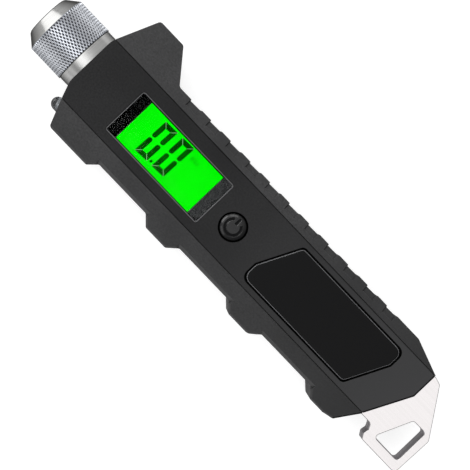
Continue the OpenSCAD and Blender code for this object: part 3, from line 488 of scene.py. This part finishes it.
POINT = (-29.5, -6.95, 0.7)
UNIT_LEFT, UNIT_LOW, UNIT_HEIGHT, UNIT_SPACING = -22.9, 0.62, 1.65, 1.35


def window_lens():
    """The clear window, a hair thinner at the back where its border is printed."""
    lens = softened("display_lens", "window_lens", 0.12)
    with editing(lens):
        choose(lens, "VERT", lambda vertex: vertex.co.z < lens_low.z + WELD)
        bpy.ops.transform.translate(value=(0, 0, PRINT * PRINT_ROOM * MM))
    return lens


def border(name, low_x, high_x, low_y, high_y):
    """One printed strip on the back of the window, with softened edges."""
    back = lens_low.z + PRINT * PRINT_SUNK * MM
    strip = slab(name, (low_x, low_y, back), (high_x, high_y, back + PRINT * MM))
    applied(strip, "BEVEL", width=PRINT * PRINT_ROUND * MM, segments=1)
    return strip


def window_bead():
    """The fine line of sealant round the window."""
    size = lens_high - lens_low
    middle = (lens_low + lens_high) / 2
    bpy.ops.mesh.primitive_plane_add(size=1, location=(middle.x, middle.y, lens_high.z))
    bead = bpy.context.object
    bead.scale = (size.x + BEAD_LAP * MM, size.y + BEAD_LAP * MM, 1)
    bead = named("window_bead")
    with editing(bead):
        bpy.ops.mesh.select_all(action="SELECT")
        bpy.ops.mesh.bevel(offset=BEAD_CORNER * MM, segments=4, affect="VERTICES")
        bpy.ops.mesh.select_all(action="SELECT")
        bpy.ops.mesh.inset(thickness=BEAD * MM)
        bpy.ops.mesh.delete(type="FACE")
        bpy.ops.mesh.select_all(action="SELECT")
        bpy.ops.mesh.extrude_region_move(TRANSFORM_OT_translate={"value": (0, 0, BEAD_HEIGHT * MM)})
        bpy.ops.mesh.select_all(action="SELECT")
        bpy.ops.mesh.normals_make_consistent(inside=False)
    applied(bead, "BEVEL", width=BEAD_ROUND * MM, segments=2)
    return bead


def bar(low, high, mitres, rounds):
    """One display segment: a thin plate, with corners moved for its mitres and rounded at its free end.

    Mitres are (corner x, corner y, shift x, shift y) in the plate's own 0 to 1 corners; rounds are corners."""
    plate = slab("segment", (low[0] * MM, low[1] * MM, glass_top), (high[0] * MM, high[1] * MM, glass_top + INK * MM))

    def at(corner_x, corner_y):
        x = (low[0], high[0])[corner_x] * MM
        y = (low[1], high[1])[corner_y] * MM
        return lambda vertex: abs(vertex.co.x - x) < WELD and abs(vertex.co.y - y) < WELD

    with editing(plate):
        for corner_x, corner_y, shift_x, shift_y in mitres:
            choose(plate, "VERT", at(corner_x, corner_y))
            bpy.ops.transform.translate(value=(shift_x * MM, shift_y * MM, 0))
        if rounds:
            ends = [at(*corner) for corner in rounds]
            choose(plate, "EDGE", lambda edge: any(all(end(v) for v in edge.verts) for end in ends))
            bpy.ops.mesh.bevel(offset=STROKE * FREE_ROUND * MM, segments=4, affect="EDGES")
    return plate


def digit(left):
    """A seven-segment zero: two mitred crossbars and four uprights, with the pale lines in the mitres."""
    right = left + DIGIT_WIDTH
    waist = (DIGIT_LOW + DIGIT_HIGH) / 2
    cut = STROKE
    gap = STROKE_GAP
    pieces = [
        bar((left + gap, DIGIT_HIGH - cut), (right - gap, DIGIT_HIGH), [(0, 0, cut, 0), (1, 0, -cut, 0)], []),
        bar((left + gap, DIGIT_LOW), (right - gap, DIGIT_LOW + cut), [(0, 1, cut, 0), (1, 1, -cut, 0)], []),
    ]
    for low_y, high_y, mitre_end in (
        (waist + WAIST_GAP / 2, DIGIT_HIGH - gap, 1), (DIGIT_LOW + gap, waist - WAIST_GAP / 2, 0)
    ):
        shift = -cut if mitre_end else cut
        free = 1 - mitre_end
        pieces.append(bar((left, low_y), (left + cut, high_y), [(1, mitre_end, 0, shift)], [(0, free), (1, free)]))
        pieces.append(bar((right - cut, low_y), (right, high_y), [(0, mitre_end, 0, shift)], [(0, free), (1, free)]))
    lines = []
    for x, turn in ((left + cut / 2, 1), (right - cut / 2, -1)):
        for y, flip in ((DIGIT_HIGH - cut / 2, -1), (DIGIT_LOW + cut / 2, 1)):
            bpy.ops.mesh.primitive_cube_add(
                size=1, location=(x * MM, y * MM, glass_top + INK / 2 * MM),
                rotation=(0, 0, math.radians(45) * turn * flip),
                scale=(MITRE_LENGTH * MM, MITRE_WIDTH * MM, MITRE_HEIGHT * MM))
            lines.append(named("mitre_line"))
            applied(lines[-1], "BEVEL", width=MITRE_ROUND * MM, segments=1)
    return pieces, lines


def leaning(piece):
    """Leans a display sign to the right, as its kind of digit does, along a row that rises a little."""
    middle = Vector(((DIGIT_LEFT[1] + DIGIT_LEFT[0] + DIGIT_WIDTH) / 2, (DIGIT_LOW + DIGIT_HIGH) / 2, 0)) * MM
    for vertex in piece.data.vertices:
        way = vertex.co - middle
        vertex.co += Vector((way.y * LEAN, way.x * RISE, 0))
    return piece


def display_signs():
    """Two zeros, the decimal point and the small unit, as dark and pale printing-thin plates on the glass."""
    dark, pale = [], []
    for left in DIGIT_LEFT:
        pieces, lines = digit(left)
        dark += pieces
        pale += lines
    x, y, size = POINT
    point = slab("segment", (x * MM, y * MM, glass_top), ((x + size) * MM, (y + size) * MM, glass_top + INK * MM))
    with editing(point):
        choose(point, "EDGE", lambda edge: abs(edge.verts[0].co.z - edge.verts[1].co.z) > WELD)
        bpy.ops.mesh.bevel(offset=size * POINT_ROUND * MM, segments=3, affect="EDGES")
    dark.append(point)
    bpy.ops.object.text_add(location=(UNIT_LEFT * MM, UNIT_LOW * MM, glass_top + INK / 2 * MM))
    unit = bpy.context.object
    unit.data.body = "PSI"
    unit.data.size = UNIT_HEIGHT * MM
    unit.data.space_character = UNIT_SPACING
    unit.data.extrude = INK / 2 * MM
    bpy.ops.object.convert(target="MESH")
    unit = named("display_unit")
    return leaning(joined("display_digits", dark)), leaning(joined("display_mitres", pale)), leaning(unit)


lens = carried(window_lens(), "case", "clear_acrylic", "display_lens")
window_print = carried(joined("window_print", [
    border("strip", lens_low.x, VIEW_LOW.x, lens_low.y, lens_high.y),
    border("strip", VIEW_LOW.x, VIEW_HIGH.x, lens_low.y, VIEW_LOW.y),
    border("strip", VIEW_LOW.x, VIEW_HIGH.x, VIEW_HIGH.y, lens_high.y),
]), "case", "clear_acrylic")
window_band = carried(
    border("window_band", VIEW_HIGH.x, lens_high.x, lens_low.y, lens_high.y), "case", "clear_acrylic")
bead = carried(window_bead(), "case", "clear_acrylic")
digits, mitres, unit = (carried(piece, "case", "display_glass") for piece in display_signs())


# Lamp: reflector cup and chip inside the clear nose

lamp_low, lamp_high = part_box("flashlight_led")
LAMP_Y = (lamp_low.y + lamp_high.y) / 2
CUP_FROM, CUP_LENGTH, CUP_RADIUS, CUP_THROAT = 2.1, 1.0, 0.95, 0.5
CUP_DEPTH, CUP_WALL = 0.7, 0.12
POST_RADIUS, POST_SHORT = 0.35, 0.2
DROP_SHOULDER, DROP_RISE, DROP_TIP = 0.15, 0.25, 0.1
# Widths of the drop, as shares of the cup's throat
DROP_FOOT, DROP_WAIST = 0.95, 0.8


def lamp_cup():
    """A small stamped reflector on its post."""
    rim = CUP_FROM * MM
    back = rim + CUP_LENGTH * MM
    profile = [
        (rim + CUP_DEPTH * MM, CUP_THROAT * MM), (rim, (CUP_RADIUS - CUP_WALL) * MM), (rim, CUP_RADIUS * MM),
        (back, CUP_RADIUS * MM), (back, POST_RADIUS * MM),
        (lamp_high.x - lamp_low.x - POST_SHORT * MM, POST_RADIUS * MM),
    ]
    cup = turned("lamp_cup", (1, 0, 0), (lamp_low.x, LAMP_Y, AXIS_Z), profile, 32)
    smooth(cup, 30)
    return cup


def lamp_chip():
    """The drop of phosphor over the chip."""
    floor = (CUP_FROM + CUP_DEPTH) * MM
    profile = [
        (floor, CUP_THROAT * DROP_FOOT * MM), (floor - DROP_SHOULDER * MM, CUP_THROAT * DROP_WAIST * MM),
        (floor - DROP_RISE * MM, DROP_TIP * MM),
    ]
    chip = turned("lamp_chip", (1, 0, 0), (lamp_low.x, LAMP_Y, AXIS_Z), profile, 24)
    smooth(chip, 60)
    return chip


cup = carried(lamp_cup(), "case", "spring_steel")
chip = carried(lamp_chip(), "case", "clear_epoxy")


# Faces with a finish of their own

bed_low, bed_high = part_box("inlay_plate")
panel_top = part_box("front_panel")[1].z
KNURL_BELOW, PIT_BAND = 0.1, 0.06
BED_MARGIN, BED_LIP, HOLE_REACH = 1.0, 0.08, 4.3
RAIL_Y, RAIL_DEEP, RAIL_SLACK = 12, 2.3, 0.1
RAIL_FROM, RAIL_TO = -35, 40
TAIL_EDGE_FROM = 38
EYE_FROM, EYE_THUMB_Y, EYE_FINGER_Y = 64, -6, -12
# Tilts: the part of a face's normal that lies along an axis
SQUARELY, FLAT_TILT, UNDERSIDE_TILT = 0.95, 0.985, -0.5
STEP_TILT, EDGE_TILT, EDGE_UP, WALL_TILT, LONG_TILT = 0.35, 0.3, 0.1, 0.3, 0.25
RIM_LOW, RIM_HIGH = 0.08, 0.95


def from_axis(face):
    """How far a face of the sleeve is from the axis, and how squarely it looks away from it."""
    middle = face.calc_center_median()
    way = Vector((0, middle.y, middle.z - AXIS_Z))
    return way.length, face.normal.dot(way.normalized())


def in_knurl(face):
    """The outside of the sleeve behind its nose."""
    behind_nose = face.calc_center_median().x > sleeve_low.x + NOSE_LENGTH * MM
    return behind_nose and from_axis(face)[0] > PIT_LEVEL - KNURL_BELOW * MM


def in_pit(face):
    """The flat floors of the knurl's pits."""
    out, square = from_axis(face)
    return in_knurl(face) and abs(out - PIT_LEVEL) < PIT_BAND * MM and square > SQUARELY


def in_bed(face):
    """The floor and walls of the inlay's recess, and the wall of the button hole, below the lip of the face plate."""
    middle = face.calc_center_median()
    beside = BED_MARGIN * MM
    along = bed_low.x - beside < middle.x < bed_high.x + beside
    across = bed_low.y - beside < middle.y < bed_high.y + beside
    in_hole = math.hypot(middle.x - CAP_X, middle.y - CAP_Y) < HOLE_REACH * MM
    looks_up = face.normal.z > UNDERSIDE_TILT
    return (along and across or in_hole) and middle.z < panel_top - BED_LIP * MM and looks_up


def on_button_top(face):
    """The flat of the cap, inside its sloping shoulder and outside the grooves."""
    return face.normal.z > FLAT_TILT and face.calc_center_median().z > cap_high.z


def below_face(face):
    """What lies in the gap round the cap."""
    return face.calc_center_median().z < panel_top - BED_LIP * MM


def on_groove_step(face):
    """The steps at the head ends of the thumb rail's grooves, with their rounded edges."""
    middle = face.calc_center_median() / MM
    in_rail = RAIL_FROM < middle.x < RAIL_TO and RAIL_Y - RAIL_DEEP < middle.y < RAIL_Y + RAIL_SLACK
    return in_rail and face.normal.x > STEP_TILT


def on_tail_edge(face):
    """The rounded edge at the tail end of the case, over the loop."""
    middle = face.calc_center_median()
    at_tail = middle.x > TAIL_EDGE_FROM * MM and middle.z > AXIS_Z
    return at_tail and face.normal.x > EDGE_TILT and face.normal.z > EDGE_UP


def on_eye_edge(face):
    """The walls of the loop, and the rounded edges along both long sides of its hole, which get painted shade."""
    middle = face.calc_center_median() / MM
    thumb_side = middle.y > EYE_THUMB_Y and face.normal.y < -EDGE_TILT
    finger_side = middle.y < EYE_FINGER_Y and face.normal.y > EDGE_TILT
    long_edge = middle.x > EYE_FROM and (thumb_side or finger_side) and abs(face.normal.x) < LONG_TILT
    return abs(face.normal.z) < WALL_TILT or long_edge


def on_inlay_edge(face):
    """The rounded edge of the inlay, between its wall and its flat."""
    return RIM_LOW < face.normal.z < RIM_HIGH


# Finishes

# Black ABS from a spark-eroded mould: dull, with a fine grain and a wide soft sheen
case_abs = moulded("case_abs", ("#212122", "#373738"), (0.5, 0.6), 0.55, 0.018, IOR=1.46)
# It is written darker towards the tail, where less light falls in the photograph
toned(case_abs, 0, 62, "#171718")
# The same ABS, written darker for the shadow on the steps of the thumb rail's grooves and on the edge over the loop
step_abs = moulded("case_step_abs", ("#040405", "#0a0a0b"), (0.6, 0.7), 0.3, 0.004, IOR=1.15)
# The face plate is the same ABS from a smoother cavity
panel_abs = moulded("panel_abs", ("#0f0f10", "#1f1f20"), (0.44, 0.52), 0.5, 0.012, IOR=1.27)
# It is written paler towards the tail, where it mirrors more light in the photograph
toned(panel_abs, -12, 62, "#353536")
# Black polycarbonate inlay with a satin skin, darker than the case
inlay_skin = moulded("inlay_satin_polycarbonate", ("#060607", "#09090a"), (0.45, 0.55), 0.3, 0.004, IOR=1.2)
# Its rounded edge is the same plastic, written paler for the light that it catches
inlay_edge = moulded("inlay_edge_polycarbonate", ("#6c6c6e", "#7a7a7c"), (0.35, 0.45), 0.3, 0.002, IOR=1.45)
# The top of the button is textured, so that a thumb finds it
button_top = moulded("button_textured_silicone", ("#141415", "#1e1e1f"), (0.34, 0.42), 0.3, 0.004, IOR=1.36)
# Near-black in the bed of the inlay and in the gap round the button: painted shade for the deep shadow there
bed_shade = moulded("bed_painted_black_shade", ("#020202", "#040404"), (0.7, 0.8), 0.5, 0.004, IOR=1.1)
# Silicone rubber button: smooth from the mould, so its slopes catch the light
button_rubber = moulded("button_silicone", ("#141415", "#1a1a1b"), (0.18, 0.24), 0.3, 0.001, IOR=1.5)
# Turned aluminium: fine rings from the lathe tool, and duller at a flat angle than a clean mirror
nose_metal = machined("nose_turned_aluminium", ("#8b8b8a", "#959594"), (0.14, 0.2), 0.22, 0.001,
                      Specular_Tint=colour("#7c7c7c"))
# The collar is turned with a coarser feed
collar_metal = machined("collar_turned_aluminium", ("#acacab", "#b8b8b7"), (0.26, 0.34), 0.22, 0.002,
                        Specular_Tint=colour("#5c5c5c"))
# The ridges of the knurl are raw and bright
knurl_ridge = machined("knurl_raw_aluminium", ("#c6c9cf", "#d8dbe1"), (0.26, 0.34), 0.22, 0.001,
                       Specular_Tint=colour("#58585c"))
# The pits of the knurl stay dull, as the wheel pressed them, and are written dark for their shadow
knurl_pit = machined("knurl_pressed_aluminium", ("#36363a", "#444448"), (0.4, 0.5), 0.22, 0.001)
# Polished stainless plate: near mirror, with faint marks from the wheel
loop_steel = machined("loop_polished_steel", ("#aeabab", "#b2afaf"), (0.1, 0.18), 0.5, 0.0005, (0, 1, 0))
# Its walls are a darker, duller steel, striped across their thickness; on the rounded edges along its hole the same
# dark steel is painted shade
loop_wall = machined("loop_dull_wall_and_painted_shade", ("#5e5a5e", "#b4afb3"), (0.3, 0.4), 1.9, 0.001, (0, 0, 1))
# Spring and contact steel: bright drawn wire and stamped strip
spring_metal = machined("spring_bright_steel", ("#a9abae", "#c6c8ca"), (0.22, 0.35), 0.15, 0.001)
# Black-oxide screws: dark metal with a thin oil sheen
screw_oxide = machined("screw_black_oxide", ("#2a2a2c", "#3a3a3c"), (0.35, 0.5), 0.2, 0.002, (0, 0, 1))
# Nitrile rubber seal: matt black
seal_rubber = moulded("seal_nitrile", ("#141415", "#1c1c1d"), (0.6, 0.75), 0.25, 0.006)
# Translucent silicone tube, milky
tube_silicone = moulded("tube_silicone", ("#b9bab6", "#d2d3cf"), (0.35, 0.45), 0.6, 0.004)
# Ceramic sensor case, off-white and dull
sensor_ceramic = moulded("sensor_ceramic", ("#dcd8cd", "#ebe7dd"), (0.5, 0.65), 0.2, 0.004)
# Moulded epoxy of the chip, matt charcoal
chip_epoxy = moulded("chip_moulded_epoxy", ("#18181a", "#242426"), (0.55, 0.7), 0.12, 0.003)
# Light guide: white acrylic that scatters the backlight
guide_acrylic = moulded("guide_white_acrylic", ("#d9efd9", "#eefaee"), (0.3, 0.4), 1.0, 0.002)
# Contact strips: pink silicone with dark carbon layers
contact_rubber = moulded("contact_layered_silicone", ("#b8657a", "#d88a9c"), (0.5, 0.6), 0.2, 0.003)
# Plunger: black acetal, slightly glossy
plunger_acetal = moulded("plunger_acetal", ("#161617", "#1f1f20"), (0.3, 0.4), 0.4, 0.002)
# Black ink printed on the back of the window, and the grey band at its tail end
print_ink = moulded("window_black_ink", ("#050506", "#08080a"), (0.4, 0.5), 0.2, 0.0005, IOR=1.08)
band_ink = moulded("window_grey_ink", ("#242327", "#2a292d"), (0.5, 0.6), 0.2, 0.0005, IOR=1.35)
# Clear sealant at the window's edge, painted pale grey as a highlight along it
sealant = moulded("window_sealant", ("#58585a", "#646466"), (0.35, 0.45), 0.4, 0.001)
# Pale gaps between the display's electrodes
gap_ink = moulded("display_pale_gap", ("#86c486", "#9cd69c"), (0.4, 0.5), 0.3, 0.0002)


def circuit_board():
    """Green solder mask over copper tracks: the tracks show as paler lines under the lacquer."""
    material, tree, shader, place = finish("board_solder_mask", Roughness=0.35, Coat_Weight=0.3)
    tracks = add_node(tree, "ShaderNodeTexBrick", {
        "Vector": place, "Scale": per(6), "Mortar Size": 0.03, "Mortar": colour("#3f9a5c"),
        "Color1": colour("#1b5f35"), "Color2": colour("#206a3c")})
    tree.links.new(tracks.outputs["Color"], shader.inputs["Base Color"])
    bump = add_node(tree, "ShaderNodeBump", {"Height": tracks.outputs["Fac"], "Distance": 0.02 * MM})
    tree.links.new(bump.outputs["Normal"], shader.inputs["Normal"])
    return material


def cell_jacket():
    """Printed foil jacket of a dry cell: a plain two-tone sleeve, with bright metal ends."""
    material, tree, shader, place = finish("cell_printed_jacket", Roughness=0.3, Coat_Weight=0.4)
    along = add_node(tree, "ShaderNodeSeparateXYZ", {"Vector": place}).outputs["X"]
    low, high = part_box("battery_cells")
    share = add_node(tree, "ShaderNodeMapRange", {
        "Value": along, "From Min": low.x, "From Max": high.x}).outputs["Result"]
    scuff = add_node(tree, "ShaderNodeTexNoise", {"Vector": place, "Scale": per(3), "Detail": 3.0}).outputs["Fac"]
    bands = add_node(tree, "ShaderNodeValToRGB", {"Fac": share})
    bands.color_ramp.interpolation = "CONSTANT"
    points = bands.color_ramp.elements
    for position, code in ((0.04, "#5c6066"), (0.3, "#3b3e43"), (0.96, "#c9cacb")):
        points.new(position).color = colour(code)
    points[0].color = colour("#c9cacb")
    tree.links.new(bands.outputs["Color"], shader.inputs["Base Color"])
    gloss = add_node(tree, "ShaderNodeMapRange", {"Value": scuff, "To Min": 0.25, "To Max": 0.4})
    tree.links.new(gloss.outputs["Result"], shader.inputs["Roughness"])
    return material


def crystal(name, body, grain, detail, glow):
    """Liquid-crystal glass over the green backlight: what gets through glows, not quite evenly, and nothing mirrors."""
    material, tree, shader, place = finish(name, Roughness=0.4, Emission_Strength=1.0, Specular_IOR_Level=0)
    shader.inputs["Base Color"].default_value = colour(body)
    haze = add_node(tree, "ShaderNodeTexNoise", {"Vector": place, "Scale": per(grain), "Detail": detail})
    tone = add_node(tree, "ShaderNodeValToRGB", {"Fac": haze.outputs["Fac"]},
                    ((NOISE_LOW, glow[0]), (NOISE_HIGH, glow[1])))
    tree.links.new(tone.outputs["Color"], shader.inputs["Emission Color"])
    return material


# The bare glass lets all the light through, a darkened segment almost none, and the small sign a little more
lit_glass = crystal("display_lit_glass", "#020802", 9, 1.0, ("#00f400", "#00ff00"))
dark_segment = crystal("display_dark_segment", "#010401", 4, 2.0, ("#003200", "#005a00"))
faint_sign = crystal("display_faint_sign", "#010401", 2, 2.0, ("#004000", "#006a00"))


def clear_window():
    """Hard-coated acrylic with an anti-glare face: clear, with almost no mirror image."""
    material, tree, shader, place = finish(
        "window_clear_acrylic", IOR=1.1, Transmission_Weight=1.0, Specular_IOR_Level=0.05)
    shader.inputs["Base Color"].default_value = colour("#f8fbf8")
    mist = add_node(tree, "ShaderNodeTexNoise", {"Vector": place, "Scale": per(5), "Detail": 2.0}).outputs["Fac"]
    gloss = add_node(tree, "ShaderNodeMapRange", {"Value": mist, "To Min": 0.0, "To Max": 0.03})
    tree.links.new(gloss.outputs["Result"], shader.inputs["Roughness"])
    return material


def clear_nose():
    """Cast epoxy of the lamp: clear with a grey tint, and slight flow lines."""
    material, tree, shader, place = finish("lamp_cast_epoxy", IOR=1.5, Transmission_Weight=1.0)
    shader.inputs["Base Color"].default_value = colour("#a4a8ac")
    flow = add_node(tree, "ShaderNodeTexNoise", {"Vector": place, "Scale": per(1.5), "Detail": 1.0}).outputs["Fac"]
    gloss = add_node(tree, "ShaderNodeMapRange", {"Value": flow, "To Min": 0.02, "To Max": 0.08})
    tree.links.new(gloss.outputs["Result"], shader.inputs["Roughness"])
    return material


# Phosphor over the chip: a matt yellow drop
lamp_phosphor = moulded("lamp_phosphor", ("#d8c24a", "#e6d468"), (0.5, 0.6), 0.3, 0.002)
# Stamped case of the switch: grey steel with the fine lines of rolled strip
switch_metal = machined("switch_stamped_steel", ("#9fa1a5", "#b9bbbe"), (0.3, 0.42), 0.3, 0.001)

finishes = [
    (case_abs, [case_front, case_back, cell_cover]),
    (panel_abs, [face_plate]),
    (inlay_skin, [grip_inlay]),
    (loop_steel, [lanyard_loop]),
    (nose_metal, [sleeve]),
    (collar_metal, [nodes["chuck_body"]]),
    (button_rubber, [button]),
    (clear_window(), [lens]),
    (print_ink, [window_print]),
    (band_ink, [window_band]),
    (sealant, [bead]),
    (lit_glass, [nodes["lcd_glass"]]),
    (dark_segment, [digits]),
    (faint_sign, [unit]),
    (gap_ink, [mitres]),
    (clear_nose(), [nodes["flashlight_led"]]),
    (spring_metal, [cup, nodes["retaining_ring"], nodes["depressor_pin"], nodes["led_leads"],
                    nodes["battery_springs"], nodes["contact_plates"], nodes["board_screws"]]),
    (lamp_phosphor, [chip]),
    (screw_oxide, [nodes["case_screws"]]),
    (seal_rubber, [nodes["valve_seal"]]),
    (tube_silicone, [nodes["air_tube"]]),
    (sensor_ceramic, [nodes["pressure_sensor"]]),
    (circuit_board(), [nodes["main_board"]]),
    (chip_epoxy, [nodes["controller_chip"]]),
    (guide_acrylic, [nodes["backlight_panel"]]),
    (contact_rubber, [nodes["contact_strips"]]),
    (switch_metal, [nodes["switch_body"]]),
    (plunger_acetal, [nodes["switch_plunger"]]),
    (cell_jacket(), [nodes["battery_cells"]]),
]
for material, pieces in finishes:
    for piece in pieces:
        dressed(piece, material)
edged(case_front, step_abs, lambda face: on_groove_step(face) or on_tail_edge(face))
edged(case_back, step_abs, on_groove_step)
edged(grip_inlay, inlay_edge, on_inlay_edge)
edged(lanyard_loop, loop_wall, on_eye_edge)
edged(face_plate, step_abs, on_tail_edge)
# Painted shade on the floor and walls of the inlay's bed and on the wall of the button hole
edged(face_plate, bed_shade, in_bed)
edged(button, button_top, on_button_top)
# Painted shade on the cap below the face, in the gap round it
edged(button, bed_shade, below_face)
edged(sleeve, knurl_ridge, in_knurl)
edged(sleeve, knurl_pit, in_pit)


# Studio: places and sizes of floor and lamps are in metres

FLOOR_SIZE = 6
FLOOR_GLOW = 0.72
# Reach of the object's shade along X and Y in millimetres; the glow there rises from the least to full between two
# shares of that reach
SHADE_REACH = (90, 45)
SHADE_FROM, SHADE_TO, SHADE_LEAST = 0.6, 2.2, 0.15


def seen_glow(tree, place):
    """Even for the camera; in metal and glass it is weaker near the object, which shades the floor there."""
    rays = add_node(tree, "ShaderNodeLightPath")
    mirrored = add_node(tree, "ShaderNodeMath", {
        0: rays.outputs["Is Glossy Ray"], 1: rays.outputs["Is Transmission Ray"]}, operation="MAXIMUM").outputs[0]
    reach = [per(size) for size in SHADE_REACH] + [0]
    squeezed = add_node(tree, "ShaderNodeMapping", {"Vector": place, "Scale": reach})
    away = add_node(tree, "ShaderNodeVectorMath", {0: squeezed.outputs[0]}, operation="LENGTH").outputs["Value"]
    shade = add_node(tree, "ShaderNodeMapRange", {
        "Value": away, "From Min": SHADE_FROM, "From Max": SHADE_TO, "To Min": SHADE_LEAST, "To Max": 1.0})
    shaded_rays = add_node(
        tree, "ShaderNodeMath", {0: mirrored, 1: shade.outputs["Result"]}, operation="MULTIPLY").outputs[0]
    seen = add_node(tree, "ShaderNodeMath", {0: rays.outputs["Is Camera Ray"], 1: shaded_rays}, operation="MAXIMUM")
    return add_node(tree, "ShaderNodeMath", {0: seen.outputs[0], 1: FLOOR_GLOW}, operation="MULTIPLY").outputs[0]


def pale_floor():
    """White sweep: it takes the object's shadow, and glows for the camera so that it stays white."""
    bpy.ops.mesh.primitive_plane_add(size=FLOOR_SIZE)
    floor = named("floor")
    material, tree, shader, place = finish("white_paper_sweep", Roughness=0.9)
    shader.inputs["Specular IOR Level"].default_value = 0
    fibre = add_node(tree, "ShaderNodeTexNoise", {"Vector": place, "Scale": per(40), "Detail": 2.0}).outputs["Fac"]
    tone = add_node(tree, "ShaderNodeValToRGB", {"Fac": fibre}, ((NOISE_LOW, "#b8b8b8"), (NOISE_HIGH, "#bcbcbc")))
    tree.links.new(tone.outputs["Color"], shader.inputs["Base Color"])
    shader.inputs["Emission Color"].default_value = (1, 1, 1, 1)
    tree.links.new(seen_glow(tree, place), shader.inputs["Emission Strength"])
    dressed(floor, material)


HORIZON_LIGHT, ZENITH_LIGHT = 0.3, 0.7
WINDOW_SIDE = (-0.6, 0.25, 0)


def studio_world():
    """Soft room: bright ceiling, dim walls with the window on the head side, and plain white behind the object."""
    world = bpy.data.worlds.new("studio")
    bpy.context.scene.world = world
    world.use_nodes = True
    tree = world.node_tree
    backdrop = tree.nodes["Background"]
    way = add_node(tree, "ShaderNodeTexCoord").outputs["Generated"]
    up = add_node(tree, "ShaderNodeSeparateXYZ", {"Vector": way}).outputs["Z"]
    room = add_node(tree, "ShaderNodeMapRange", {"Value": up, "To Min": HORIZON_LIGHT, "To Max": ZENITH_LIGHT})
    facing = add_node(
        tree, "ShaderNodeVectorMath", {0: way, 1: WINDOW_SIDE}, operation="DOT_PRODUCT").outputs["Value"]
    share = add_node(tree, "ShaderNodeMath", {0: facing, 1: 1.0}, operation="ADD").outputs[0]
    sided = add_node(tree, "ShaderNodeMath", {0: room.outputs["Result"], 1: share}, operation="MULTIPLY").outputs[0]
    rays = add_node(tree, "ShaderNodeLightPath")
    strength = add_node(tree, "ShaderNodeMath", {0: sided, 1: rays.outputs["Is Camera Ray"]}, operation="MAXIMUM")
    backdrop.inputs["Color"].default_value = (1, 1, 1, 1)
    tree.links.new(strength.outputs[0], backdrop.inputs["Strength"])


def softbox(name, place, width, height, radiance):
    """A square lamp that looks at the middle of the object; radiance 1 shows as white."""
    lamp = bpy.data.lights.new(name, "AREA")
    lamp.shape = "RECTANGLE"
    lamp.size, lamp.size_y = width, height
    lamp.energy = radiance * math.pi * width * height
    holder = bpy.data.objects.new(name, lamp)
    holder.location = place
    holder.rotation_euler = (-Vector(place)).to_track_quat("-Z", "Y").to_euler()
    bpy.context.scene.collection.objects.link(holder)


CAMERA_PLACE = Vector((-28.85, -4.04, 465)) * MM
CAMERA_TILT = math.radians(3.667)
CAMERA_TURN = math.radians(46.36)
CAMERA_VIEW = math.radians(15.647)


def studio_camera():
    """Above the head, tilted towards the tail, and turned so that the gauge lies across the frame."""
    lens_data = bpy.data.cameras.new("camera")
    lens_data.sensor_width = 36
    lens_data.angle = CAMERA_VIEW
    lens_data.clip_start = 0.01
    camera = bpy.data.objects.new("camera", lens_data)
    camera.location = CAMERA_PLACE
    tilt = Matrix.Rotation(-CAMERA_TILT, 3, "Y")
    camera.rotation_euler = (tilt @ Matrix.Rotation(CAMERA_TURN, 3, "Z")).to_euler()
    bpy.context.scene.collection.objects.link(camera)
    bpy.context.scene.camera = camera


pale_floor()
studio_world()
softbox("top_softbox", (-0.22, -0.12, 0.85), 1.3, 0.3, 2.1)
softbox("tail_softbox", (0.27, -0.03, 0.75), 0.45, 0.4, 1.5)
softbox("finger_softbox", (-0.35, -0.75, 0.25), 0.7, 0.3, 0.9)
softbox("thumb_softbox", (-0.55, 0.65, 0.28), 0.7, 0.35, 1.9)
softbox("head_softbox", (-0.8, -0.02, 0.16), 0.6, 0.32, 3.2)
studio_camera()
bpy.context.scene.view_settings.view_transform = "Standard"
